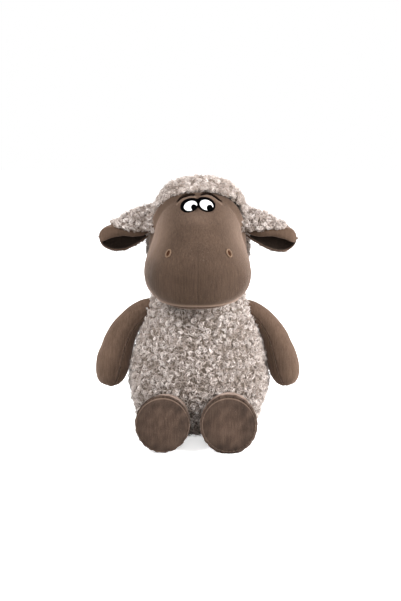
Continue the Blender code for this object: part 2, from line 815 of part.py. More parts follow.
def pellet_rings(grow):
    """Rings of the bag of pellets that stands on the seat patch, grown all round."""
    floor = SEAT_THICKNESS + TOUCH_GAP
    wide, deep = PELLET_BAG_WIDTH / 2 + grow, PELLET_BAG_DEPTH / 2 + grow
    tall = PELLET_BAG_HEIGHT + 2 * grow
    return [
        oval((0, 0, floor - grow + height * tall), wide * width, deep * width, turns(PELLET_SEGMENTS))
        for height, width in smooth_rows(PELLET_RING_SHARES, PELLET_ROWS)
    ]


def build_body(wool, velour, stuffing, pellet_cloth):
    """The two wool covers, the seat patch, the stuffing and the bag of pellets."""
    pieces = []
    halves = (("back", 0.0, math.pi, 1), ("front", math.pi, FULL_TURN, -1))
    for half, start, stop, away in halves:
        angles = turns(BODY_SEGMENTS // 2 + 1, start, stop)
        shift = away * SEAM_GAP / 2
        cover = plate(
            f"body_{half}_cover",
            body_rings(0.0, angles, shift),
            body_rings(BODY_COVER_THICKNESS, angles, shift),
            wool,
            closed_tip=True,
        )
        pieces.append(cover)
    seat_inset = BODY_COVER_THICKNESS + TOUCH_GAP
    _, seat_half_width, seat_half_depth = body_ring_sizes(seat_inset)[0]
    seat = [
        oval((0, 0, height), seat_half_width, seat_half_depth, turns(SEAT_SEGMENTS))
        for height in (0.0, SEAT_THICKNESS)
    ]
    pieces.append(solid("seat_patch", seat, velour))
    inset = BODY_COVER_THICKNESS + STUFFING_GAP
    inside = body_rings(inset, turns(BODY_STUFFING_SEGMENTS), rows=BODY_STUFFING_ROWS)
    floor = SEAT_THICKNESS + TOUCH_GAP
    lifted = [[(x, y, max(z, floor)) for x, y, z in ring] for ring in inside]
    core = solid("body_stuffing", lifted, stuffing)
    bag = solid("pellet_bag", pellet_rings(0.0), pellet_cloth)
    pieces.append(cut(core, "DIFFERENCE", solid("pellet_space", pellet_rings(TOUCH_GAP))))
    pieces.append(bag)
    return pieces


def tail_pivot_place():
    """The middle of the tail's root, against the body's back."""
    back = body_reach(TAIL_ROOT_HEIGHT, sideways=False)
    return Vector((0, back + TOUCH_GAP, TAIL_ROOT_HEIGHT))


def build_tail(body_space, wool):
    """The tail, which hangs from its root and leans on the body."""
    root = tail_pivot_place()
    down = Vector((0, math.sin(TAIL_LEAN), -math.cos(TAIL_LEAN)))
    out = Vector((0, math.cos(TAIL_LEAN), math.sin(TAIL_LEAN)))
    rows = []
    for along, width in smooth_rows(TAIL_RING_SHARES, TAIL_ROWS):
        middle = root + down * along * TAIL_LENGTH
        rows.append(
            [
                middle
                + Vector((width * TAIL_WIDTH / 2 * math.cos(a), 0, 0))
                + out * width * TAIL_THICKNESS / 2 * math.sin(a)
                for a in turns(TAIL_SEGMENTS)
            ]
        )
    return cut(solid("tail", rows, wool), "DIFFERENCE", body_space)


def main():
    """Builds the sheep."""
    clear_scene()
    wool = cloth("curly_wool", WOOL_COLOUR, 0.95)
    velour = cloth("short_pile", VELOUR_COLOUR, 0.85)
    stuffing = cloth("fibre_filling", STUFFING_COLOUR, 0.95)
    pellet_cloth = cloth("pellet_cloth", PELLET_CLOTH_COLOUR, 0.9)
    black = cloth("black_thread", BLACK_THREAD_COLOUR, 0.55)
    white = cloth("white_thread", WHITE_THREAD_COLOUR, 0.6)
    brown = cloth("brown_thread", BROWN_THREAD_COLOUR, 0.7)

    body_space = body_cutter()
    build_body(wool, velour, stuffing, pellet_cloth)
    hang([build_tail(body_space, wool)], pivot("tail_pivot", tail_pivot_place()))

    head_pivot = pivot("head_pivot", (0, 0, HEAD_TURN_HEIGHT))
    hang(build_head_shell(body_space, velour, wool, stuffing), head_pivot)
    hang(build_eyes(black, white), head_pivot)
    hang(build_nostrils(brown), head_pivot)
    hang(build_brows(brown), head_pivot)

    for name, side in SIDES:
        hang(build_ear(name, side, wool, velour), pivot(f"ear_pivot_{name}", ear_pivot_place(side)))
        pivot_height = SHOULDER_HEIGHT + ARM_PIVOT_RISE
        reach = body_reach(pivot_height, sideways=True) - ARM_PIVOT_SINK
        shoulder = (side * reach, 0, pivot_height)
        hang(build_arm(name, side, body_space, velour, stuffing), pivot(f"arm_pivot_{name}", shoulder))
        hip = (side * LEG_SPACING / 2, -LEG_PIVOT_SHARE * BODY_DEPTH / 2, 0)
        hang(build_leg(name, side, body_space, velour, stuffing), pivot(f"leg_pivot_{name}", hip))


main()
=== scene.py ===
"""Looks of the seated plush sheep: curly wool, short-pile velour and stitched eyes.

Metres, +Z up. The sheep faces -Y and its own left side is at +X, as in the CAD frame.
"""

import json
import logging
import math
from contextlib import contextmanager
from dataclasses import dataclass
from enum import Enum
from typing import Callable, ClassVar, Iterator, Optional, Sequence

import bmesh
import bpy
import numpy as np
from mathutils import Vector
from mathutils.bvhtree import BVHTree
from mathutils.kdtree import KDTree
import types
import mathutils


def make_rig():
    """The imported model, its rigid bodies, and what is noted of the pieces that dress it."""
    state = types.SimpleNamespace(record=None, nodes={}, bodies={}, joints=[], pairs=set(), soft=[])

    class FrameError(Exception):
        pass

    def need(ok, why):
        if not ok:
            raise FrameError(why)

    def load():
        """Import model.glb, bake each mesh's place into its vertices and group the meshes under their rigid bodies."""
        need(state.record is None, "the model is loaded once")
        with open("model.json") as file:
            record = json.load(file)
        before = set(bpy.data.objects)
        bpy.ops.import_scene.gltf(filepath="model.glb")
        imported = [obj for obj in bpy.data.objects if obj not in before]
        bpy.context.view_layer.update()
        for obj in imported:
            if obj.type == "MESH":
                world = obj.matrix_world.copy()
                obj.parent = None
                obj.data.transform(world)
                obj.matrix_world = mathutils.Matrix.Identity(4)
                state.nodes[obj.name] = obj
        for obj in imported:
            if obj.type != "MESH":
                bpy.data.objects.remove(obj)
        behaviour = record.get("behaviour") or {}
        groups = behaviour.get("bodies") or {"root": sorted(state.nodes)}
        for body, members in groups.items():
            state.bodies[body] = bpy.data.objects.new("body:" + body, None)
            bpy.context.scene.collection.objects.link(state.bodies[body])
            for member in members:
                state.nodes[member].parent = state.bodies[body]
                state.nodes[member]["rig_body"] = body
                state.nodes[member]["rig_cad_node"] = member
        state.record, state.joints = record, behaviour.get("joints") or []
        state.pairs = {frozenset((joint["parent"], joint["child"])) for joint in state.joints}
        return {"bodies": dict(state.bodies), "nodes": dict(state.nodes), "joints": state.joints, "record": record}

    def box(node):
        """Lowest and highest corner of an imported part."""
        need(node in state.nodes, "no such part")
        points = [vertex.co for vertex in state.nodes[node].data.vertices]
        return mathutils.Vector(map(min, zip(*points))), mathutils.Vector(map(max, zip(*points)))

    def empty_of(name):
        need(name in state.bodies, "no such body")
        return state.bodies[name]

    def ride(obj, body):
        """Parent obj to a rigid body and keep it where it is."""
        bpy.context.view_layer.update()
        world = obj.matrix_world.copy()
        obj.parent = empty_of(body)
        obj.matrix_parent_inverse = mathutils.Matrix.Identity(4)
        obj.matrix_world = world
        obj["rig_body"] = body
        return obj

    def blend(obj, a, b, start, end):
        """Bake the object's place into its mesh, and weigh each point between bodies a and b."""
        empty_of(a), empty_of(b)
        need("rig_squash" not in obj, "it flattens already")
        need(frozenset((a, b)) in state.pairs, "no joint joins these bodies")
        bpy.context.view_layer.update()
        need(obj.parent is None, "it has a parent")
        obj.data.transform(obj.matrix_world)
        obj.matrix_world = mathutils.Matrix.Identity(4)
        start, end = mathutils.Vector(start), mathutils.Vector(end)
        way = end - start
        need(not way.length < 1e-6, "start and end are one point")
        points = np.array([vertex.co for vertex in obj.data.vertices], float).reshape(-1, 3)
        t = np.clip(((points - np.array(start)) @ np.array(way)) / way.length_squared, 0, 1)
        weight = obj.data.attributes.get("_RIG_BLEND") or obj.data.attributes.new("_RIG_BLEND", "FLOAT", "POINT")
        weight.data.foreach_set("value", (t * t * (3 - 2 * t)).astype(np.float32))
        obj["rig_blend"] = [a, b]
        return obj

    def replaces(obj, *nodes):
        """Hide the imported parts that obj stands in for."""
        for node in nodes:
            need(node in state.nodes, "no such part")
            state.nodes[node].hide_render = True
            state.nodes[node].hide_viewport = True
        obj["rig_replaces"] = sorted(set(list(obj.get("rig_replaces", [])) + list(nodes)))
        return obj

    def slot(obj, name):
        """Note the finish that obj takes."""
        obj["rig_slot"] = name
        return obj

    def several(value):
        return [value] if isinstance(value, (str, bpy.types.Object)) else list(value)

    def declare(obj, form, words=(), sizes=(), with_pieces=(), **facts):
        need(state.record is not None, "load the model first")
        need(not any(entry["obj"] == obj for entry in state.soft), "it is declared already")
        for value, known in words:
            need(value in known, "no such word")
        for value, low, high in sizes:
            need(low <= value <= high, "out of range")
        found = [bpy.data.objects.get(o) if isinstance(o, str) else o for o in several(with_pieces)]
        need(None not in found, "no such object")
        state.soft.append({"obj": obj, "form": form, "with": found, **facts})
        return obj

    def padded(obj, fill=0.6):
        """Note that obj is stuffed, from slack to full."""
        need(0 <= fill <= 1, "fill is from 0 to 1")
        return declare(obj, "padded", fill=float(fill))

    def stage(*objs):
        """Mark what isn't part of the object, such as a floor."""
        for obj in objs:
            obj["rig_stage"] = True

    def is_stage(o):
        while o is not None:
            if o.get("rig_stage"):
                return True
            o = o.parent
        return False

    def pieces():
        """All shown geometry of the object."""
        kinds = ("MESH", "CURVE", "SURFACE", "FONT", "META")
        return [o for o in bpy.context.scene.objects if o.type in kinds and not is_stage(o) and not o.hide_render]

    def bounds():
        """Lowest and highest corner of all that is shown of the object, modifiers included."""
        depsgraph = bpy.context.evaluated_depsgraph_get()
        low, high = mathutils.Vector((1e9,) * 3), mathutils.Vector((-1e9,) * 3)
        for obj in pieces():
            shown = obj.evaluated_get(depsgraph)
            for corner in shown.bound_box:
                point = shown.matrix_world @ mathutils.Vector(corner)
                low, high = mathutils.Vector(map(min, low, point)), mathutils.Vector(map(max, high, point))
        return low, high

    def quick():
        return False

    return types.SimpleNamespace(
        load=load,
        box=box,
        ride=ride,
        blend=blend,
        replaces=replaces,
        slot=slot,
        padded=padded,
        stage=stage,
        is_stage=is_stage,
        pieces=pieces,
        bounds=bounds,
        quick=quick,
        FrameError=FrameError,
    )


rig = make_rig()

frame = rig.load()
CAD_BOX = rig.bounds()

MM = 0.001
TAU = 2 * math.pi
LOG = logging.getLogger("sheep")

Table = Sequence[tuple[float, ...]]
Colour = tuple[float, float, float, float]
Place = tuple[float, float, float]
Array = np.ndarray
Pair = tuple[Array, Array]
Outline = Callable[[Array], Array]
Node = bpy.types.Node
Socket = bpy.types.NodeSocket
Tree = bpy.types.NodeTree
Material = bpy.types.Material


class Slot(Enum):
    """The record's material slots."""

    WOOL = "curly_wool"
    VELOUR = "short_pile"
    FILLING = "fibre_filling"
    PELLETS = "pellet_cloth"
    BLACK = "black_thread"
    WHITE = "white_thread"
    BROWN = "brown_thread"


class Side(Enum):
    """The sheep's own left and right."""

    LEFT = 1
    RIGHT = -1

    @property
    def word(self) -> str:
        """The side's name in the frame."""
        return self.name.lower()


Coat = tuple[Material, Slot]


def paint(code: str) -> Colour:
    """A display colour as scene light.

    Args:
        code: six hexadecimal digits after a hash sign.

    Returns:
        The linear red, green and blue, and full alpha.
    """
    parts = [int(code[i : i + 2], 16) / 255 for i in (1, 3, 5)]
    red, green, blue = (p / 12.92 if p <= 0.04045 else ((p + 0.055) / 1.055) ** 2.4 for p in parts)
    return red, green, blue, 1.0


def curve_rows(table: Table, count: int) -> Array:
    """Rows spread evenly along a smooth curve through a table's rows.

    Args:
        table: the rows that the curve goes through.
        count: how many rows to return.

    Returns:
        An array of count rows, none below the table's lowest values.
    """
    rows = np.array(table, float)
    padded = np.vstack((2 * rows[0] - rows[1], rows, 2 * rows[-1] - rows[-2]))
    place = np.linspace(0, len(rows) - 1, count)
    start = np.minimum(place.astype(int), len(rows) - 2)
    t = (place - start)[:, None]
    before, here, there, after = (padded[start + k] for k in range(4))
    bend = 2 * before - 5 * here + 4 * there - after
    twist = 3 * here - before - 3 * there + after
    made = 0.5 * (2 * here + (there - before) * t + bend * t**2 + twist * t**3)
    made[0], made[-1] = rows[0], rows[-1]
    return np.maximum(made, rows.min(axis=0))


def closed(grid: Array) -> Array:
    """Rings with both ends drawn together to a point."""
    first, last = (np.broadcast_to(ring.mean(axis=0), ring.shape) for ring in (grid[0], grid[-1]))
    return np.concatenate((first[None], grid, last[None]))


def smooth_step(values: Array, low: float, high: float) -> Array:
    """Zero below low, one above high, and a soft rise between them."""
    t = np.clip((values - low) / (high - low), 0, 1)
    return t * t * (3 - 2 * t)


def bump(values: Array, width: float) -> Array:
    """A round hill of height one about zero."""
    return np.exp(-((values / width) ** 2))


def unit(vectors: Array) -> Array:
    """Vectors of length one along the last axis."""
    return vectors / np.maximum(np.linalg.norm(vectors, axis=-1, keepdims=True), 1e-12)


def bent(values: Array, squareness: float) -> Array:
    """Cosines or sines turned into a superellipse's."""
    return np.sign(values) * np.abs(values) ** (2 / squareness)


def ripple(places: Array, size: float, seed: int) -> Array:
    """Soft unevenness from a few crossing waves.

    Args:
        places: points in metres, one a row.
        size: the length of the shortest swell, in metres.
        seed: picks the waves.

    Returns:
        One value from about -1 to 1 for each point.
    """
    rng = np.random.default_rng(seed)
    waves = 9
    total = np.zeros(len(places))
    for _ in range(waves):
        direction = unit(rng.normal(size=3))
        pace = TAU / (size * rng.uniform(1.0, 2.2))
        total += np.sin(places @ direction * pace + rng.uniform(0, TAU))
    return total / (waves / 2)


def point_tree(points: Array) -> KDTree:
    """Points ready for finding the nearest one.

    Args:
        points: one point a row.

    Returns:
        The tree, which numbers the points as the rows are.
    """
    tree = KDTree(len(points))
    for i, place in enumerate(points):
        tree.insert(Vector(place), i)
    tree.balance()
    return tree


class Graph:
    """Adds nodes to a node tree and joins them."""

    def __init__(self, tree: Tree) -> None:
        """Starts from an empty tree."""
        self.tree = tree
        tree.nodes.clear()

    def add(self, kind: str, settings: Optional[dict] = None, **sockets: object) -> Node:
        """Adds a node.

        Args:
            kind: the node's type, without its ShaderNode prefix.
            settings: properties of the node itself.
            **sockets: inputs by name, with _ for a space, each a value or an output to join.

        Returns:
            The new node.
        """
        prefix = "" if kind.startswith("NodeGroup") else "ShaderNode"
        node = self.tree.nodes.new(prefix + kind)
        for key, value in (settings or {}).items():
            setattr(node, key, value)
        for key, value in sockets.items():
            name = key.replace("_", " ")
            numbered = name[0] == "i" and name[1:].isdigit()
            socket = node.inputs[int(name[1:]) if numbered else name]
            if isinstance(value, Socket):
                self.tree.links.new(value, socket)
            else:
                socket.default_value = value
        return node

    def math(self, operation: str, first: object, second: object = 0.0, third: object = 0.0) -> Socket:
        """The output of a Math node."""
        return self.add("Math", {"operation": operation}, i0=first, i1=second, i2=third).outputs[0]

    def blend(self, share: object, first: object, second: object, mode: str = "MIX") -> Socket:
        """The output of a Mix node for colours."""
        settings = {"data_type": "RGBA", "blend_type": mode}
        return self.add("Mix", settings, i0=share, i6=first, i7=second).outputs[2]

    def number_blend(self, share: object, first: object, second: object) -> Socket:
        """The output of a Mix node for numbers."""
        return self.add("Mix", {"data_type": "FLOAT"}, i0=share, i2=first, i3=second).outputs[0]

    def spread(self, value: object, low: float, high: float) -> Socket:
        """A value stretched so that low becomes 0 and high becomes 1, and held between them."""
        return self.add("MapRange", {}, Value=value, From_Min=low, From_Max=high).outputs[0]

    def group(self, tree: Tree, **values: float) -> Node:
        """Places a group with its own values, whose names have _ for a space."""
        return self.add("Group", {"node_tree": tree}, **values)

    def mark(self, name: str, output: str = "Vector") -> Socket:
        """What each point of the mesh carries under a name."""
        return self.add("Attribute", {"attribute_name": name}).outputs[output]

    def seen_directly(self) -> Socket:
        """What tells the camera's own rays from light that only falls on things.

        Returns:
            1 for rays from the camera, straight, mirrored or through something clear.
        """
        path = self.add("LightPath").outputs
        rays = self.math("MAXIMUM", path["Is Camera Ray"], path["Is Glossy Ray"])
        return self.math("MAXIMUM", rays, path["Is Transmission Ray"])


def shader_group(
    name: str, inputs: Sequence[tuple[str, float]], outputs: Sequence[str]
) -> tuple[Tree, Graph, bpy.types.bpy_prop_collection]:
    """An empty shader group with its sockets.

    Args:
        name: the group's name.
        inputs: name and first value of each number that goes in.
        outputs: name of each number that comes out.

    Returns:
        The group, its graph, and the sockets with what goes in.
    """
    tree = bpy.data.node_groups.new(name, "ShaderNodeTree")
    for label, value in inputs:
        socket = tree.interface.new_socket(label, in_out="INPUT", socket_type="NodeSocketFloat")
        socket.default_value = value
    for label in outputs:
        tree.interface.new_socket(label, in_out="OUTPUT", socket_type="NodeSocketFloat")
    graph = Graph(tree)
    return tree, graph, graph.add("NodeGroupInput").outputs


TONE_AND_HEIGHT = ("Tone", "Height")


@dataclass(frozen=True)
class Effects:
    """Shader groups that several finishes share."""

    nap: Tree
    fibre: Tree
    thread: Tree
    dust: Tree


def nap_group() -> Tree:
    """Short pile: fine grain, the knit's upright ribs, and patches where the pile lies another way.

    Returns:
        A group with a tone that varies about one half and a height for the bump.
    """
    start = (("Grain", 2600.0), ("Rib", 700.0), ("Rib Share", 0.4), ("Patch", 30.0), ("Patch Share", 0.25))
    tree, graph, given = shader_group("pile_nap", start, TONE_AND_HEIGHT)
    place = graph.mark("rest")
    grain = graph.add("TexNoise", {}, Vector=place, Scale=given["Grain"], Detail=3.0, Roughness=0.65)
    patch = graph.add("TexNoise", {}, Vector=place, Scale=given["Patch"], Detail=2.0, Distortion=0.4)
    upright = graph.add("Mapping", {}, Vector=place)
    upright.inputs["Scale"].default_value = (1.0, 0.6, 0.07)
    rib = graph.add("TexNoise", {}, Vector=upright.outputs[0], Scale=given["Rib"], Detail=2.0, Roughness=0.5)
    fine = graph.number_blend(given["Rib Share"], grain.outputs[0], rib.outputs[0])
    wide = graph.spread(patch.outputs[0], 0.3, 0.7)
    tone = graph.number_blend(given["Patch Share"], graph.spread(fine, 0.3, 0.7), wide)
    graph.add("NodeGroupOutput", {}, Tone=tone, Height=fine)
    return tree


def fibre_group() -> Tree:
    """Wool fibres that run along a lock.

    Returns:
        A group with the tone and the height of the fibres.
    """
    start = (("Across", 5.5), ("Along", 260.0))
    tree, graph, given = shader_group("lock_fibres", start, TONE_AND_HEIGHT)
    parts = graph.add("SeparateXYZ", {}, Vector=graph.mark("lie"))
    joined = graph.add(
        "CombineXYZ",
        {},
        X=graph.math("MULTIPLY", parts.outputs[0], given["Across"]),
        Y=graph.math("MULTIPLY", parts.outputs[1], given["Across"]),
        Z=graph.math("MULTIPLY", parts.outputs[2], given["Along"]),
    )
    noise = graph.add("TexNoise", {}, Vector=joined.outputs[0], Scale=1.0, Detail=3.0, Roughness=0.6)
    held = graph.spread(noise.outputs[0], 0.3, 0.7)
    graph.add("NodeGroupOutput", {}, Tone=held, Height=noise.outputs[0])
    return tree


def thread_group() -> Tree:
    """Satin stitches: threads side by side, a little uneven.

    Returns:
        A group with the tone and the height of the threads.
    """
    start = (("Threads", 1.0), ("Waver", 0.35))
    tree, graph, given = shader_group("satin_threads", start, TONE_AND_HEIGHT)
    place = graph.mark("lie")
    drift = graph.add("TexNoise", {}, Vector=place, Scale=0.5, Detail=2.0)
    parts = graph.add("SeparateXYZ", {}, Vector=place)
    shift = graph.math("MULTIPLY", drift.outputs[0], given["Waver"])
    across = graph.math("MULTIPLY_ADD", parts.outputs[0], given["Threads"], shift)
    wave = graph.math("SINE", graph.math("MULTIPLY", across, TAU))
    height = graph.math("MULTIPLY_ADD", wave, 0.5, 0.5)
    soft = graph.add("TexNoise", {}, Vector=place, Scale=2.2, Detail=3.0)
    fuzz = graph.math("MULTIPLY", soft.outputs[0], 0.4)
    tone = graph.math("MULTIPLY_ADD", height, 0.6, fuzz)
    graph.add("NodeGroupOutput", {}, Tone=tone, Height=height)
    return tree


def dust_group() -> Tree:
    """A little lint in loose patches.

    Returns:
        A group with a mask that is 1 where lint lies.
    """
    tree, graph, given = shader_group("lint", (("Speck", 900.0), ("Amount", 0.5)), ("Mask",))
    place = graph.mark("rest")
    speck = graph.add("TexNoise", {}, Vector=place, Scale=given["Speck"], Detail=2.0)
    cloud = graph.add("TexNoise", {}, Vector=place, Scale=38.0, Detail=3.0)
    specks = graph.spread(speck.outputs[0], 0.6, 0.78)
    mask = graph.math("MULTIPLY", specks, graph.spread(cloud.outputs[0], 0.4, 0.65))
    graph.add("NodeGroupOutput", {}, Mask=graph.math("MULTIPLY", mask, given["Amount"]))
    return tree


@dataclass(frozen=True)
class Finish:
    """What every finish has.

    Roughness is how much it changes with the tone and what it is at tone 0. Relief is depth and strength.
    """

    name: str
    slot: Slot
    dark: str = "#000000"
    light: str = "#ffffff"
    shine: float = 0.2
    grain: float = 1500.0
    patch: float = 30.0
    rib_share: float = 0.4
    roughness: tuple[float, float] = (0.1, 0.82)
    relief: tuple[float, float] = (0.5 * MM, 0.7)
    sheen: float = 0.0
    sheen_roughness: float = 0.5
    sheen_tint: str = "#ffffff"

    def texture(self, graph: Graph, effects: Effects) -> Node:
        """The group whose tone and height the finish follows."""
        return graph.group(effects.nap, Grain=self.grain, Patch=self.patch, Rib_Share=self.rib_share)

    def paleness(self, graph: Graph, texture: Node) -> Socket:
        """How far each point is from the dark colour to the light one."""
        return texture.outputs["Tone"]

    def laid_over(self, graph: Graph, effects: Effects, colour: Socket, texture: Node) -> Socket:
        """The colour after whatever lies over the two tones."""
        return colour

    def coat(self, effects: Effects) -> Coat:
        """Makes the material.

        Args:
            effects: the shared groups.

        Returns:
            The material and its slot.
        """
        material = bpy.data.materials.new(self.name)
        material.use_nodes = True
        graph = Graph(material.node_tree)
        texture = self.texture(graph, effects)
        two_tones = graph.blend(self.paleness(graph, texture), paint(self.dark), paint(self.light))
        distance, strength = self.relief
        relief = graph.add("Bump", {}, Height=texture.outputs["Height"], Distance=distance, Strength=strength)
        shader = graph.add(
            "BsdfPrincipled",
            {},
            Base_Color=self.laid_over(graph, effects, two_tones, texture),
            Roughness=graph.math("MULTIPLY_ADD", texture.outputs["Tone"], *self.roughness),
            Normal=relief.outputs[0],
            IOR=1.45,
            Specular_IOR_Level=self.shine,
            Sheen_Weight=self.sheen,
            Sheen_Roughness=self.sheen_roughness,
            Sheen_Tint=paint(self.sheen_tint),
        )
        graph.add("OutputMaterial", {}, Surface=shader.outputs[0])
        return material, self.slot


@dataclass(frozen=True)
class Velour(Finish):
    """Brown short pile, brighter where the pile stands on edge."""

    dark: str = "#251a13"
    light: str = "#4c3b2f"
    lint: str = "#7c6c61"
    lint_share: float = 0.3
    # Colour of the painted highlights on the face and on the sole's rim, and of a few pale patches of nap on the sole.
    brushed: str = "#8a7465"
    roughness: tuple[float, float] = (-0.12, 0.96)
    sheen: float = 0.62
    sheen_roughness: float = 0.38
    sheen_tint: str = "#cfb8ab"

    def laid_over(self, graph: Graph, effects: Effects, colour: Socket, texture: Node) -> Socket:
        """Adds painted shade, painted highlights and lint.

        Args:
            graph: the material's graph.
            effects: the shared groups.
            colour: the two tones.
            texture: the group that they follow.

        Returns:
            The colour.
        """
        dust = graph.group(effects.dust, Amount=self.lint_share)
        # Painted shade: the shade mark darkens the pile towards the dark colour.
        shaded = graph.blend(graph.mark("shade", "Fac"), colour, paint(self.dark), "MULTIPLY")
        # Painted highlights: this mark pales the pile. On the sole it also gives real pale patches of nap.
        pale = graph.blend(graph.mark("brushed", "Fac"), shaded, paint(self.brushed))
        return graph.blend(dust.outputs["Mask"], pale, paint(self.lint))


@dataclass(frozen=True)
class Wool(Finish):
    """Curly wool: dark at the roots and pale at the tips, each lock with its own tone."""

    dark: str = "#b5aaa2"
    light: str = "#faf4f1"
    dull: str = "#b3a8a0"
    bright: str = "#fffcfb"
    roughness: tuple[float, float] = (0.15, 0.8)
    relief: tuple[float, float] = (0.3 * MM, 0.7)
    sheen: float = 0.3

    def texture(self, graph: Graph, effects: Effects) -> Node:
        """The fibres."""
        return graph.group(effects.fibre)

    def paleness(self, graph: Graph, texture: Node) -> Socket:
        """Paler along the lock."""
        return graph.spread(graph.mark("along", "Fac"), 0.0, 0.65)

    def laid_over(self, graph: Graph, effects: Effects, colour: Socket, texture: Node) -> Socket:
        """Adds the fibres' streaks and the lock's own tone.

        Args:
            graph: the material's graph.
            effects: the shared groups.
            colour: the two tones.
            texture: the fibres.

        Returns:
            The colour.
        """
        share = graph.math("MULTIPLY", texture.outputs["Tone"], 0.22)
        streaked = graph.blend(share, colour, paint(self.dark), "MULTIPLY")
        # The lock's tone varies at random and also carries painted shade between tufts and between the legs.
        lock = graph.blend(graph.mark("tone", "Fac"), paint(self.dull), paint(self.bright))
        return graph.blend(1.0, streaked, lock, "MULTIPLY")


@dataclass(frozen=True)
class Knit(Finish):
    """The cloth that the wool is knitted into, with loose fibres over it."""

    # Set darker than the wool, so that the pits between the locks look shaded: painted shade.
    dark: str = "#4a4139"
    light: str = "#73685f"
    patch: float = 190.0
    rib_share: float = 0.0
    roughness: tuple[float, float] = (0.1, 0.88)
    relief: tuple[float, float] = (0.9 * MM, 0.8)


@dataclass(frozen=True)
class Thread(Finish):
    """Embroidery thread, laid side by side."""

    dark: str = "#020202"
    light: str = "#0b0b0c"
    threads: float = 2.4
    roughness: tuple[float, float] = (-0.15, 0.7)
    relief: tuple[float, float] = (0.12 * MM, 0.6)

    def texture(self, graph: Graph, effects: Effects) -> Node:
        """The threads."""
        return graph.group(effects.thread, Threads=self.threads)


@dataclass(frozen=True)
class Filling(Finish):
    """White polyester fibre, or plain cotton cloth where the relief is lower."""

    dark: str = "#cfcdc6"
    light: str = "#f4f3ee"
    grain: float = 700.0
    patch: float = 120.0
    rib_share: float = 0.1
    relief: tuple[float, float] = (1.2 * MM, 0.6)
    sheen: float = 0.4


def quads_between(index: Array, wrap: bool) -> Array:
    """The faces between neighbouring rows of points.

    Args:
        index: the points' numbers, by row and place in it.
        wrap: whether each row is closed to a ring.

    Returns:
        Four corners a row.
    """
    right = np.roll(index, -1, axis=-1)
    quads = np.stack((index[..., :-1, :], right[..., :-1, :], right[..., 1:, :], index[..., 1:, :]), axis=-1)
    return quads[..., : None if wrap else -1, :].reshape(-1, 4)


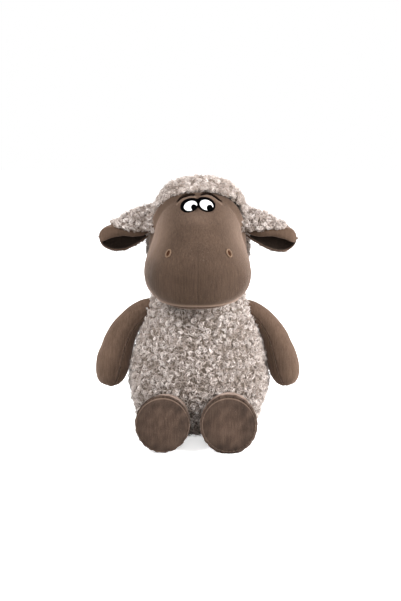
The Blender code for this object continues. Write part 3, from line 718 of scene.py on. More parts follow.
class Piece:
    """One mesh of the toy while it is being sewn."""

    def __init__(self, name: str, mesh: bpy.types.Mesh) -> None:
        """Puts a mesh into the scene.

        Args:
            name: the piece's name.
            mesh: its mesh.
        """
        mesh.name = name
        self.item = bpy.data.objects.new(name, mesh)
        bpy.context.scene.collection.objects.link(self.item)

    @classmethod
    def of_faces(cls, name: str, points: Array, groups: Sequence[Array]) -> "Piece":
        """Makes a piece from points and faces.

        Args:
            name: the piece's name.
            points: one point a row, in metres.
            groups: arrays of faces, each array with one number of corners.

        Returns:
            The piece.
        """
        groups = [np.asarray(group, np.int32) for group in groups]
        sizes = np.concatenate([np.full(len(group), group.shape[1]) for group in groups])
        mesh = bpy.data.meshes.new(name)
        mesh.vertices.add(len(points))
        mesh.vertices.foreach_set("co", np.asarray(points, np.float32).ravel())
        corners = np.concatenate([group.ravel() for group in groups])
        mesh.loops.add(len(corners))
        mesh.loops.foreach_set("vertex_index", corners)
        mesh.polygons.add(len(sizes))
        mesh.polygons.foreach_set("loop_start", np.concatenate(([0], np.cumsum(sizes)[:-1])))
        mesh.update(calc_edges=True)
        return cls(name, mesh)

    @classmethod
    def of_node(cls, name: str, node: str, levels: int) -> "Piece":
        """Makes a piece with the form of a CAD node, rounded.

        Args:
            name: the piece's name.
            node: the CAD node.
            levels: how many times its faces are divided.

        Returns:
            The piece.
        """
        source = frame["nodes"][node]
        mesh = source.data.copy()
        mesh.transform(source.matrix_world)
        piece = cls(name, mesh)
        smooth = piece.item.modifiers.new("round", "SUBSURF")
        smooth.levels = smooth.render_levels = levels
        return piece.apply()

    @classmethod
    def sheet(cls, name: str, grid: Array, wrap: bool = False, outside: Optional[Vector] = None) -> "Piece":
        """A cloth through rows of points, with its poles closed.

        Args:
            name: the piece's name.
            grid: points by row and column.
            wrap: whether the last column is sewn to the first.
            outside: a direction that the cloth's normals are turned to agree with.

        Returns:
            The piece.
        """
        rows, columns = grid.shape[:2]
        index = np.arange(rows * columns).reshape(rows, columns)
        piece = cls.of_faces(name, grid.reshape(-1, 3), [quads_between(index, wrap)])
        piece.weld()
        if outside is not None:
            total = sum((face.normal * face.area for face in piece.mesh.polygons), Vector())
            if total.dot(outside) < 0:
                piece.flip()
        return piece

    @property
    def mesh(self) -> bpy.types.Mesh:
        """The piece's mesh."""
        return self.item.data

    @property
    def surface(self) -> BVHTree:
        """The faces, ready for finding the nearest one."""
        faces = [tuple(face.vertices) for face in self.mesh.polygons]
        return BVHTree.FromPolygons([tuple(place) for place in self.places], faces)

    @staticmethod
    def read(source: bpy.types.bpy_prop_collection, key: str) -> Array:
        """Reads a vector of each point.

        Args:
            source: the points, or their normals.
            key: the property that is read.

        Returns:
            One vector a row.
        """
        flat = np.empty(len(source) * 3, np.float32)
        source.foreach_get(key, flat)
        return flat.reshape(-1, 3).astype(float)

    @property
    def places(self) -> Array:
        """The points, one a row."""
        return self.read(self.mesh.vertices, "co")

    @property
    def normals(self) -> Array:
        """The direction out of the surface at each point."""
        return self.read(self.mesh.vertex_normals, "vector")

    def move(self, places: Array) -> "Piece":
        """Puts the points at new places.

        Args:
            places: the places, one a row.

        Returns:
            The piece itself.
        """
        self.mesh.vertices.foreach_set("co", np.asarray(places, np.float32).ravel())
        self.mesh.update()
        return self

    def push(self, lift: Array) -> "Piece":
        """Moves each point straight out by its own lift, in metres."""
        return self.move(self.places + self.normals * np.asarray(lift)[:, None])

    @contextmanager
    def opened(self) -> Iterator[bmesh.types.BMesh]:
        """Opens the mesh for changes.

        Yields:
            The bmesh, which is written back afterwards.
        """
        mesh = bmesh.new()
        mesh.from_mesh(self.mesh)
        yield mesh
        mesh.to_mesh(self.mesh)
        mesh.free()
        self.mesh.update()

    def weld(self) -> None:
        """Joins points that lie on each other and drops faces that have no area."""
        distance = 0.00001
        with self.opened() as mesh:
            bmesh.ops.remove_doubles(mesh, verts=mesh.verts, dist=distance)
            bmesh.ops.dissolve_degenerate(mesh, edges=mesh.edges, dist=distance / 10)

    def flip(self) -> None:
        """Turns the faces over."""
        with self.opened() as mesh:
            bmesh.ops.reverse_faces(mesh, faces=mesh.faces)

    def trim(self, place: Sequence[float], away: Sequence[float]) -> None:
        """Cuts off everything beyond a plane.

        Args:
            place: a point of the plane.
            away: the direction towards what is cut off.
        """
        plane = {"plane_co": place, "plane_no": away, "clear_outer": True}
        with self.opened() as mesh:
            parts = [*mesh.verts, *mesh.edges, *mesh.faces]
            bmesh.ops.bisect_plane(mesh, geom=parts, dist=1e-6, **plane)

    def clear(self, hidden: Callable[[Vector], bool]) -> None:
        """Deletes faces.

        Args:
            hidden: tells from a face's middle whether it goes.
        """
        with self.opened() as mesh:
            faces = [face for face in mesh.faces if hidden(face.calc_center_median())]
            bmesh.ops.delete(mesh, geom=faces, context="FACES")

    def copy(self, name: str) -> "Piece":
        """A second piece with the same mesh."""
        return Piece(name, self.mesh.copy())

    def discard(self) -> None:
        """Removes a piece that only served to make others."""
        bpy.data.objects.remove(self.item, do_unlink=True)

    def thicken(self, thickness: float) -> "Piece":
        """Gives the cloth its thickness, inward, with closed rims.

        Args:
            thickness: in metres.

        Returns:
            The piece itself.
        """
        solid = self.item.modifiers.new("cloth", "SOLIDIFY")
        solid.thickness = thickness
        solid.offset = -1
        solid.use_rim = True
        return self.apply()

    def apply(self) -> "Piece":
        """Turns the modifiers into mesh.

        Returns:
            The piece itself.
        """
        bpy.context.view_layer.update()
        shown = self.item.evaluated_get(bpy.context.evaluated_depsgraph_get())
        made = bpy.data.meshes.new_from_object(shown)
        old = self.mesh
        self.item.modifiers.clear()
        self.item.data = made
        made.name = self.item.name
        bpy.data.meshes.remove(old)
        return self

    def mark(self, name: str, values: Array) -> "Piece":
        """Writes what each point carries.

        Args:
            name: the name that the finish reads it by.
            values: a number or a vector for each point.

        Returns:
            The piece itself.
        """
        values = np.asarray(values, np.float32)
        kind, key = ("FLOAT_VECTOR", "vector") if values.ndim == 2 else ("FLOAT", "value")
        layer = self.mesh.attributes.get(name) or self.mesh.attributes.new(name, kind, "POINT")
        layer.data.foreach_set(key, values.ravel())
        return self

    def dress(self, coat: Coat) -> "Piece":
        """Gives the piece its finish, and keeps the places at rest, which the finish is laid out on.

        Args:
            coat: the material and its slot.

        Returns:
            The piece itself.
        """
        material, slot = coat
        self.mark("rest", self.places)
        # Pieces without painted shade or painted highlights get zero marks.
        for name in ("shade", "brushed"):
            if name not in self.mesh.attributes:
                self.mark(name, np.zeros(len(self.mesh.vertices)))
        self.mesh.materials.clear()
        self.mesh.materials.append(material)
        self.mesh.polygons.foreach_set("use_smooth", np.ones(len(self.mesh.polygons), bool))
        self.mesh.update()
        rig.slot(self.item, slot.value)
        LOG.info("%s: %d faces", self.item.name, len(self.mesh.polygons))
        return self


def tubes(name: str, paths: Array, radii: Array, sides: int, tone: Array) -> Piece:
    """Many tubes as one piece.

    Args:
        name: the piece's name.
        paths: points by tube and step.
        radii: the radius at each step, in metres.
        sides: how many sides a tube has.
        tone: one value for each tube, from 0 to 1.

    Returns:
        The piece, whose points carry tone, along and lie.
    """
    count, steps = paths.shape[:2]
    along = unit(np.gradient(paths, axis=1))
    helper = np.where(np.abs(along[:, 0, 2:3]) > 0.8, [[1.0, 0.0, 0.0]], [[0.0, 0.0, 1.0]])
    side = unit(np.cross(along[:, 0], helper))
    across = np.empty_like(paths)
    for step in range(steps):
        side = unit(side - along[:, step] * np.sum(side * along[:, step], axis=1, keepdims=True))
        across[:, step] = side
    up = np.cross(along, across)
    angles = np.arange(sides) * TAU / sides
    ring = across[:, :, None] * np.cos(angles)[:, None] + up[:, :, None] * np.sin(angles)[:, None]
    points = paths[:, :, None] + ring * radii[:, :, None, None]
    index = np.arange(count * steps * sides).reshape(count, steps, sides)
    caps = np.concatenate((index[:, 0, ::-1], index[:, -1]))
    piece = Piece.of_faces(name, points.reshape(-1, 3), [quads_between(index, True), caps])
    shape = (count, steps, sides)
    stretches = np.linalg.norm(np.diff(paths, axis=1), axis=2)
    lengths = np.concatenate((np.zeros((count, 1)), np.cumsum(stretches, axis=1)), 1)
    share = np.broadcast_to(np.linspace(0, 1, steps)[None, :, None], shape)
    lie = np.stack(
        (
            np.broadcast_to(np.cos(angles), shape) + tone[:, None, None] * 40,
            np.broadcast_to(np.sin(angles), shape),
            np.broadcast_to(lengths[:, :, None], shape),
        ),
        axis=-1,
    )
    piece.mark("along", share.ravel()).mark("lie", lie.reshape(-1, 3))
    return piece.mark("tone", np.broadcast_to(tone[:, None, None], shape).ravel())


def scatter(piece: Piece, spacing: float, seed: int) -> tuple[Array, Array]:
    """Places spread over a surface, none closer than a spacing.

    Args:
        piece: the surface.
        spacing: the least distance, in metres.
        seed: picks the places.

    Returns:
        The places and the directions out of the surface there.
    """
    mesh = piece.mesh
    mesh.calc_loop_triangles()
    corners = np.empty(len(mesh.loop_triangles) * 3, np.int32)
    mesh.loop_triangles.foreach_get("vertices", corners)
    corners = corners.reshape(-1, 3)
    spots, out = piece.places, piece.normals
    a, b, c = (spots[corners[:, k]] for k in range(3))
    area = np.linalg.norm(np.cross(b - a, c - a), axis=1) / 2
    rng = np.random.default_rng(seed)
    count = int(area.sum() / spacing**2 * 5)
    picked = rng.choice(len(corners), count, p=area / area.sum())
    u, v = rng.random((2, count, 1))
    u, v = np.where(u + v > 1, 1 - u, u), np.where(u + v > 1, 1 - v, v)
    shares = np.concatenate((1 - u - v, u, v), axis=1)[:, :, None]
    places = (spots[corners[picked]] * shares).sum(axis=1)
    normals = unit((out[corners[picked]] * shares).sum(axis=1))
    cells: dict[tuple[int, int, int], list[int]] = {}
    kept: list[int] = []
    keys = np.floor(places / spacing).astype(int)
    steps = [(dx, dy, dz) for dx in (-1, 0, 1) for dy in (-1, 0, 1) for dz in (-1, 0, 1)]
    for i, (x, y, z) in enumerate(keys):
        near = (j for dx, dy, dz in steps for j in cells.get((x + dx, y + dy, z + dz), ()))
        if all(np.sum((places[i] - places[j]) ** 2) >= spacing**2 for j in near):
            cells.setdefault((x, y, z), []).append(i)
            kept.append(i)
    return places[kept], normals[kept]


@dataclass(frozen=True)
class Layer:
    """One kind of curl that the wool is made of, with sizes in millimetres."""

    name: str
    spacing: float
    strands: int
    coil: float
    rise: float
    lift: float
    strand: float
    sides: int = 4
    # Below 1, depth paints the layer darker, as shade deep under the curls.
    depth: float = 1.0


@dataclass(frozen=True)
class Fleece:
    """How the wool grows: locks of strands that coil up to a point, over finer and deeper curls."""

    size: float = 1.0
    root: float = 0.0
    tuft: float = 6.8 * MM
    tone: float = 0.78
    gather: float = 0.15
    least: Optional[float] = None
    steps: int = 11
    most_faces: int = 180000
    floor: float = 0.3 * MM
    rim_spacing: float = 2.9 * MM
    layers: tuple[Layer, ...] = (
        Layer("locks", 4.5, 3, 3.1, 3.4, 0.0, 0.40),
        Layer("curls", 4.1, 2, 2.0, 3.6, 0.3, 0.33),
        Layer("undercoat", 4.6, 4, 3.3, 3.0, -1.0, 0.44, depth=0.35),
        Layer("wisps", 4.6, 5, 4.2, 4.8, 0.9, 0.17, sides=3),
    )

    def tufted(self, spots: Array, out: Array, tufts: KDTree) -> Pair:
        """Draws places towards the middle of the nearest tuft, and lets those between tufts sink.

        Args:
            spots: where curls grow.
            out: the direction out of the cloth at each.
            tufts: the middles of the tufts.

        Returns:
            The new places, and how far each lies from its tuft's middle, from 0 to 1.
        """
        middles = np.array([tufts.find(Vector(spot))[0] for spot in spots])
        apart = np.clip(np.linalg.norm(middles - spots, axis=1) / (0.62 * self.tuft * self.size), 0, 1)
        sink = (0.6 - 1.9 * apart**2)[:, None] * MM * self.size
        return spots + (middles - spots) * self.gather * apart[:, None] + out * sink, apart

    def coils(self, spots: Array, out: Array, layer: Layer, rng: np.random.Generator) -> Array:
        """The middle lines of the strands.

        Args:
            spots: where the locks grow.
            out: the direction out of the cloth at each.
            layer: the kind of curl.
            rng: the source of everything that is random.

        Returns:
            Points by lock, strand and step.
        """
        count, strands = len(spots), layer.strands
        many = (count, strands, 1)
        lean = unit(np.cross(out, rng.normal(size=(count, 3))))
        axis = unit(out + lean * rng.uniform(0.4, 2.1, (count, 1)))
        first = unit(np.cross(axis, rng.normal(size=(count, 3))))
        second = np.cross(axis, first)
        s = np.linspace(0, 1, self.steps)
        turn = (rng.uniform(0.75, 1.45, count) * rng.choice((-1, 1), count) * TAU)[:, None, None]
        phase = rng.uniform(0, TAU, (count, 1, 1)) + rng.normal(0, 0.5, many)
        waver = 0.3 * np.sin(s * TAU * rng.uniform(1, 2.2, many) + rng.uniform(0, TAU, many))
        nest = np.linspace(0.3, 1.15, strands)[None, :, None] + rng.normal(0, 0.08, many)
        wide = layer.coil * self.size * MM * rng.uniform(0.75, 1.2, (count, 1, 1)) * nest
        high = layer.rise * self.size * MM * rng.uniform(0.75, 1.2, (count, 1, 1))
        high = high * rng.uniform(0.8, 1.1, many)
        angle = phase + turn * s + waver
        radius = wide * (1 - 0.45 * s)
        height = high * (s**0.8 - 0.25)
        shift = rng.normal(0, 0.4 * MM, (count, strands, 2))
        right = (radius * np.cos(angle) + shift[..., :1])[..., None]
        left = (radius * np.sin(angle) + shift[..., 1:])[..., None]
        lift = (layer.lift + self.root + rng.uniform(-0.6, 0.8, many))[..., None] * MM
        made = spots[:, None, None] + out[:, None, None] * lift
        made = made + first[:, None, None] * right + second[:, None, None] * left
        return made + axis[:, None, None] * height[..., None]

    def kept_out(self, lines: Array, surface: BVHTree) -> Array:
        """Lifts strands that would come out on the other side of a thin cloth.

        Args:
            lines: points by lock, strand and step.
            surface: the cloth.

        Returns:
            The points, none deeper than the fleece allows.
        """
        if self.least is None:
            return lines
        flat = lines.reshape(-1, 3)
        for i, place in enumerate(flat):
            near, normal, _, _ = surface.find_nearest(Vector(place))
            depth = (Vector(place) - near).dot(normal)
            if depth < self.least:
                flat[i] = place + np.array(normal) * (self.least - depth)
        return flat.reshape(lines.shape)

    def spin(self, name: str, lines: Array, layer: Layer, tone: Array) -> list[Piece]:
        """Turns lines into strands, in as many pieces as the number of faces asks for.

        Args:
            name: the name of the pieces.
            lines: points by lock, strand and step.
            layer: the kind of curl.
            tone: one value for each lock.

        Returns:
            The pieces.
        """
        strands, steps = lines.shape[1:3]
        s = np.linspace(0, 1, steps)
        taper = (0.75 + 0.25 * np.clip(s / 0.2, 0, 1)) * np.clip((1.04 - s) / 0.5, 0, 1) ** 0.5
        paths = lines.reshape(-1, steps, 3).copy()
        uneven = np.random.default_rng(len(paths)).uniform(0.7, 1.25, (len(paths), 1))
        thick = layer.strand * MM * taper * uneven
        paths[..., 2] = np.maximum(paths[..., 2], self.floor + thick)
        tones = np.repeat(tone, strands)
        parts = math.ceil(len(paths) * (steps * layer.sides * 2 + 8) / self.most_faces)
        made = []
        for part, chosen in enumerate(np.array_split(np.arange(len(paths)), parts)):
            made.append(tubes(f"{name}_{part + 1}", paths[chosen], thick[chosen], layer.sides, tones[chosen]))
        return made

    def tones(self, spots: Array, apart: Array, rng: np.random.Generator, seed: int) -> Array:
        """How pale each lock is: uneven at random, with painted shade between tufts and between the legs.

        Args:
            spots: where the locks grow.
            apart: how far each lies from its tuft's middle.
            rng: the source of the layer's random values.
            seed: picks the wide unevenness.

        Returns:
            One value from 0 to 1 for each lock.
        """
        # Random tone, less painted shade for locks that lie far from their tuft's middle.
        tone = rng.normal(self.tone, 0.19, len(spots)) + 0.2 * ripple(spots, 0.02, seed) - 0.6 * apart**2
        x, y, z = spots.T
        # Painted shade on low locks at the front between the legs.
        tone -= 0.8 * smooth_step(-z, -0.030, -0.006) * bump(x, 0.026) * (y < 0)
        return np.clip(tone, 0, 1)

    def grow(self, name: str, base: Piece, seed: int, rims: Sequence[Pair] = ()) -> list[Piece]:
        """Every layer of the wool, all over a piece of cloth.

        Args:
            name: the start of the pieces' names.
            base: the surface that they grow on.
            seed: picks everything that is random.
            rims: planes, each a point and a direction, over whose edge an extra row of locks leans.

        Returns:
            The pieces of wool.
        """
        pieces = []
        tufts = point_tree(scatter(base, self.tuft * self.size, seed + 50)[0])
        surface = base.surface
        for number, layer in enumerate(self.layers):
            spots, out = scatter(base, layer.spacing * self.size * MM, seed + number)
            for place, away in rims:
                extra, way = self.rim(base, place, away, seed)
                spots, out = np.concatenate((spots, extra)), np.concatenate((out, way))
            rng = np.random.default_rng(100 * seed + number)
            spots, apart = self.tufted(spots, out, tufts)
            # A layer with depth under 1 is painted darker: shade deep under the curls.
            tone = self.tones(spots, apart, rng, seed) * layer.depth
            lines = self.kept_out(self.coils(spots, out, layer, rng), surface)
            made = self.spin(f"{name}_{layer.name}", lines, layer, tone)
            # Its locks also take a fixed dark place along the lock: more painted shade.
            if layer.depth < 1:
                for piece in made:
                    piece.mark("along", np.full(len(piece.mesh.vertices), layer.depth * 0.6))
            pieces += made
            LOG.info("%s: %d %s", name, len(spots), layer.name)
        return pieces

    def rim(self, base: Piece, place: Array, away: Array, seed: int) -> Pair:
        """Places for locks along a cut edge, leaning over it.

        Args:
            base: the surface.
            place: a point of the plane that cut it.
            away: the direction beyond the edge.
            seed: picks the order.

        Returns:
            The places and the directions that the locks point in.
        """
        spots, out = base.places, base.normals
        near = np.flatnonzero(np.abs((spots - place) @ away) < 0.4 * MM)
        kept: list[int] = []
        for i in np.random.default_rng(seed).permutation(near):
            if all(np.sum((spots[i] - spots[j]) ** 2) > self.rim_spacing**2 for j in kept):
                kept.append(int(i))
        rng = np.random.default_rng(seed + 7)
        reach = rng.uniform(-1.6, 0.9, (len(kept), 1)) * MM
        return spots[kept] + away * reach, unit(out[kept] + away * rng.uniform(0.2, 1.0, (len(kept), 1)))


@dataclass(frozen=True)
class Stuffing:
    """Swells a closed bag of cloth as filling would, and carries the swelling over to the sewn panels."""

    voxel: float = 5.8 * MM
    pressure: float = 4.0
    frames: int = 20
    start: float = 1.2 * MM
    most: float = 3.0 * MM
    mass: float = 0.003
    stiffness: float = 0.6
    bending: float = 0.02
    quality: int = 6

    def swell(self, panels: Sequence[Piece], bag: Piece, seams: Array) -> None:
        """Runs the cloth and moves the panels with it.

        Args:
            panels: the pieces whose points follow.
            bag: a closed form of the same shape, which is used up.
            seams: points of the seams, which the cloth is held at.
        """
        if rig.quick():
            bag.discard()
            return
        bag.push(np.full(len(bag.places), -self.start))
        remesh = bag.item.modifiers.new("even", "REMESH")
        remesh.mode = "VOXEL"
        remesh.voxel_size = self.voxel
        bag.apply()
        rest = bag.places
        self.hold(bag, rest, seams)
        cloth = bag.item.modifiers.new("cloth", "CLOTH")
        settings = cloth.settings
        settings.quality = self.quality
        settings.mass = self.mass
        settings.tension_stiffness = settings.compression_stiffness = self.stiffness
        settings.shear_stiffness = self.stiffness / 3
        settings.bending_stiffness = self.bending
        settings.use_pressure = True
        settings.uniform_pressure_force = self.pressure
        settings.effector_weights.gravity = 0.0
        settings.vertex_group_mass = "held"
        cloth.collision_settings.use_collision = False
        cloth.collision_settings.use_self_collision = False
        cloth.point_cache.frame_start, cloth.point_cache.frame_end = 1, self.frames
        for number in range(1, self.frames + 1):
            bpy.context.scene.frame_set(number)
        bag.apply()
        bpy.context.scene.frame_set(1)
        moved = bag.places - rest
        length = np.linalg.norm(moved, axis=1, keepdims=True)
        moved = self.evened(rest, moved * np.minimum(1, self.most / np.maximum(length, 1e-9)))
        mean, most = length.mean() / MM, length.max() / MM
        LOG.info("%s: swelled by %.1f mm, at most %.1f mm", bag.item.name, mean, most)
        for panel in panels:
            swelling = self.carried(panel.places, rest, moved)
            panel.move(panel.places + swelling - panel.normals * np.median(length))
        bag.discard()

    @staticmethod
    def hold(bag: Piece, rest: Array, seams: Array) -> None:
        """Holds the cloth where it is sewn, less and less with the distance.

        Args:
            bag: the cloth.
            rest: its points.
            seams: points of the seams.
        """
        tree = point_tree(seams)
        group = bag.item.vertex_groups.new(name="held")
        for i, place in enumerate(rest):
            gap = tree.find(Vector(place))[2]
            group.add([i], float(np.clip(1.25 - gap / (6 * MM), 0, 1)), "REPLACE")

    @staticmethod
    def evened(rest: Array, moved: Array, reach: float = 7 * MM) -> Array:
        """Evens out how far the points moved, so that no trace of the voxels is left.

        Args:
            rest: the cloth before.
            moved: how far each of its points went.
            reach: the distance over which it is evened out.

        Returns:
            One vector for each point.
        """
        made = np.empty_like(moved)
        for chosen in np.array_split(np.arange(len(rest)), 8):
            gap = ((rest[chosen, None] - rest[None]) ** 2).sum(axis=2)
            weight = np.exp(-gap / reach**2)
            made[chosen] = weight @ moved / weight.sum(axis=1, keepdims=True)
        return made

    @staticmethod
    def carried(places: Array, rest: Array, moved: Array) -> Array:
        """How far each place moves with the nearest points of the cloth.

        Args:
            places: the points to carry.
            rest: the cloth before.
            moved: how far each of its points went.

        Returns:
            One vector for each place.
        """
        tree = point_tree(rest)
        made = np.empty_like(places)
        for i, place in enumerate(places):
            near = tree.find_n(Vector(place), 10)
            weight = bump(np.array([gap for _, _, gap in near]), 4 * MM) + 1e-9
            made[i] = (moved[[index for _, index, _ in near]] * weight[:, None]).sum(axis=0) / weight.sum()
        return made


@dataclass(frozen=True)
class Finishes:
    """Every finish of the toy, ready for use."""

    velour: Coat
    limb: Coat
    lining: Coat
    sole: Coat
    wool: Coat
    knit: Coat
    black: Coat
    white: Coat
    brown: Coat
    hole: Coat
    fold: Coat
    stitch: Coat
    filling: Coat
    pellets: Coat

    def woolly(self, skin: Piece, locks: Sequence[Piece]) -> list[Piece]:
        """Dresses a backing and the wool on it.

        Args:
            skin: the backing.
            locks: the wool.

        Returns:
            All of them, the backing first.
        """
        skin.dress(self.knit)
        for piece in locks:
            piece.dress(self.wool)
        return [skin, *locks]


@dataclass
class BodyForm:
    """The pear of the body."""

    height: float = 0.196
    width: float = 0.170
    depth: float = 0.150
    rings: Table = (
        (0.0, 0.77, 0.0), (0.022, 0.84, 0.0), (0.06, 0.89, 0.0), (0.14, 0.945, 0.0), (0.27, 1.0, 0.0),
        (0.39, 0.985, 0.0), (0.51, 0.915, 0.15), (0.61, 0.83, 0.45), (0.7, 0.75, 0.85),
        (0.77, 0.708, 1.0), (0.84, 0.66, 1.0), (0.9, 0.575, 1.0), (0.955, 0.42, 1.0), (0.99, 0.2, 1.0),
        (1.0, 0.0, 1.0),
    )

    def grid(self, rows: int, columns: int, inset: float) -> Array:
        """Points of the body's skin, from the seat up.

        Args:
            rows: how many rings.
            columns: how many points a ring has.
            inset: how far inside the wool's surface, in metres.

        Returns:
            Points by ring and place round it.
        """
        height, width, rounding = curve_rows(self.rings, rows).T
        half = np.maximum(width * self.width / 2 - inset, 0)
        oval = np.maximum(width * self.depth / 2 - inset, 0)
        deep = oval + (half - oval) * rounding
        angle = np.arange(columns) * TAU / columns
        level = np.maximum(height * (self.height - inset), 0.0006)
        x, y = half[:, None] * np.cos(angle), deep[:, None] * np.sin(angle)
        return np.stack((x, y, np.repeat(level[:, None], columns, 1)), axis=-1)

    def hide(self, piece: Piece, oval: float, inset: float) -> None:
        """Takes away the faces that lie inside the wool.

        Args:
            piece: what touches the body.
            oval: the depth that is counted, in metres.
            inset: how far inside the body a face is kept, in metres.
        """
        height, width, _ = curve_rows(self.rings, 60).T

        def hidden(place: Vector) -> bool:
            """Tells whether a face goes.

            Args:
                place: its middle.

            Returns:
                True where it lies inside the wool.
            """
            x, y, z = place
            share = np.interp(z, height * self.height, width)
            half, deep = share * self.width / 2 - inset, share * oval / 2 - inset
            return z < self.height and half > 0 and math.hypot(x / half, y / deep) < 1

        piece.clear(hidden)

    def half_width(self, level: float) -> float:
        """Half the body's width at a height."""
        height, width, _ = curve_rows(self.rings, 17).T
        return float(np.interp(level, height * self.height, width * self.width / 2))


@dataclass
class HeadForm:
    """The head's form, with the muzzle to the front."""

    chin: float = 0.15386
    height: float = 0.141
    width: float = 0.118
    depth: float = 0.156
    reach: float = 0.113
    squareness: float = 2.35
    rings: Table = (
        (0.0, 0.0, 0.64, 0.0), (0.016, 0.35, 0.61, 0.23), (0.045, 0.58, 0.57, 0.42),
        (0.1, 0.8, 0.5, 0.62), (0.166, 0.935, 0.43, 0.76), (0.24, 0.993, 0.37, 0.87),
        (0.31, 1.0, 0.325, 0.94), (0.4, 0.985, 0.275, 0.97), (0.5, 0.96, 0.22, 0.955),
        (0.6, 0.935, 0.165, 0.9), (0.7, 0.897, 0.118, 0.812), (0.79, 0.84, 0.085, 0.705),
        (0.87, 0.745, 0.062, 0.575), (0.935, 0.6, 0.05, 0.42), (0.98, 0.37, 0.044, 0.235),
        (1.0, 0.0, 0.042, 0.0),
    )

    def grid(self, rows: int, columns: int, inset: float) -> Array:
        """Points of the head's skin, closer together near the front.

        Args:
            rows: how many rings.
            columns: how many points a ring has.
            inset: how far inside the face's surface, in metres.

        Returns:
            Points by ring and place round it.
        """
        height, width, forward, deep = curve_rows(self.rings, rows).T
        level = (height - 0.5) * (self.height - 2 * inset) + self.chin + self.height / 2
        half = width * (self.width / 2 - inset)
        long = deep * (self.depth / 2 - inset)
        fine = np.linspace(0, TAU, 2000, endpoint=False)
        density = 1 + 3.5 * bump(fine - math.pi, 0.10) + 1.2 * bump(fine - math.pi, 0.8)
        total = np.concatenate(([0], np.cumsum(density)))
        even = np.linspace(0, total[-1], columns, endpoint=False)
        angle = np.interp(even, total, np.append(fine, TAU)) + math.pi / 2
        x = half[:, None] * bent(np.cos(angle), self.squareness)
        y = -forward[:, None] * self.reach + long[:, None] * bent(np.sin(angle), self.squareness)
        return np.stack((x, y, np.repeat(level[:, None], columns, 1)), axis=-1)


@dataclass
class Seams:
    """The planes that the head's pieces are cut along."""

    form: HeadForm
    top_share: float = 0.915
    top_reach: float = 0.370
    lean: float = math.radians(23)
    chin_share: float = 0.050
    chin_rise: float = math.radians(5)

    @property
    def hood_plane(self) -> Pair:
        """The plane between hood and face.

        Returns:
            A point of it, and its direction towards the hood.
        """
        level = self.form.chin + self.top_share * self.form.height
        place = np.array((0, -self.top_reach * self.form.reach, level))
        return place, np.array((0, math.cos(self.lean), math.sin(self.lean)))

    @property
    def chin_plane(self) -> Pair:
        """A point of the plane between face and chin, and its direction upward."""
        place = np.array((0, -self.form.reach, self.form.chin + self.chin_share * self.form.height))
        return place, np.array((0, -math.sin(self.chin_rise), math.cos(self.chin_rise)))


@dataclass
class Body:
    """The woolly body, closed by a seat patch, with its filling and its bag of pellets."""

    finishes: Finishes
    fleece: Fleece
    stuffing: Stuffing
    form: BodyForm
    inset: float = 3.4 * MM
    backing: float = 1.6 * MM

    def build(self) -> None:
        """Builds the two covers, the seat, the filling and the pellet bag."""
        whole = Piece.sheet("body_skin", self.form.grid(110, 260, self.inset), wrap=True)
        edge = self.form.grid(60, 2, self.inset).transpose(1, 0, 2).reshape(-1, 3)
        bag = Piece.sheet("body_bag", closed(self.form.grid(60, 140, self.inset)), wrap=True)
        self.stuffing.swell([whole], bag, edge)
        x, _, z = whole.places.T
        bulge = 2.4 * bump(z - 0.112, 0.034) + 2.6 * bump(z - 0.052, 0.018)
        whole.push(bulge * MM * smooth_step(x, 0.03, 0.07))
        seam = bump(whole.places[:, 1], 1.6 * MM) * 1.2 * MM
        whole.push(0.7 * MM * ripple(whole.places, 0.009, 5) - seam)
        for name, away, seed in (("front", (0, 1, 0), 11), ("back", (0, -1, 0), 12)):
            skin = whole.copy(f"body_{name}_backing")
            skin.trim((0, 0, 0), away)
            locks = self.fleece.grow(f"body_{name}_wool", skin, seed)
            for piece in self.finishes.woolly(skin.thicken(self.backing), locks):
                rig.ride(piece.item, "torso")
            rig.replaces(skin.item, f"body_{name}_cover")
            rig.padded(skin.item, 0.8)
        whole.discard()
        self.seat()
        fill_inside("body_fibre", "body_stuffing", "torso", self.finishes.filling, 1.0)
        fill_inside("pellet_sack", "pellet_bag", "torso", self.finishes.pellets, 0.4)

    def seat(self) -> None:
        """The patch under the body, gathered a little at its edge."""
        low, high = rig.box("seat_patch")
        half = (np.array(high) - np.array(low)) / 2
        columns = 96
        angle = np.arange(columns) * TAU / columns
        profile = ((0, 0), (0.5, 0), (0.9, 0), (0.98, 0.1), (1, 0.5), (0.98, 0.9), (0.6, 1), (0, 1))
        rows = []
        for reach, rise in curve_rows(profile, 26):
            gather = 1 - 0.004 * np.cos(angle * 26) * reach**6
            x, y = half[0] * reach * gather * np.cos(angle), half[1] * reach * gather * np.sin(angle)
            rows.append(np.stack((x, y, np.full(columns, low[2] + rise * (high[2] - low[2]))), axis=-1))
        patch = Piece.sheet("seat_cloth", np.array(rows), wrap=True)
        patch.dress(self.finishes.sole)
        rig.ride(patch.item, "torso")
        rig.replaces(patch.item, "seat_patch")


def fill_inside(
    name: str,
    node: str,
    body: str,
    coat: Coat,
    lump: float,
    inset: float = 0.4,
    bend: Optional[tuple[Place, Place]] = None,
) -> None:
    """A lumpy filling in the space of a CAD node.

    Args:
        name: the piece's name.
        node: the CAD node that it stands for.
        body: the CAD body that it moves with.
        coat: its finish.
        lump: how far its surface sinks between lumps, in millimetres.
        inset: how far it lies inside the CAD node, in millimetres.
        bend: where it starts and stops bending away from the torso, if it does.
    """
    piece = Piece.of_node(name, node, 1)
    sunk = (0.5 + 0.5 * ripple(piece.places, 0.011, len(name))).clip(0, 1)
    piece.push(-inset * MM - lump * MM * sunk).dress(coat)
    if bend is None:
        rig.ride(piece.item, body)
    else:
        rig.blend(piece.item, "torso", body, *bend)
    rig.replaces(piece.item, node)


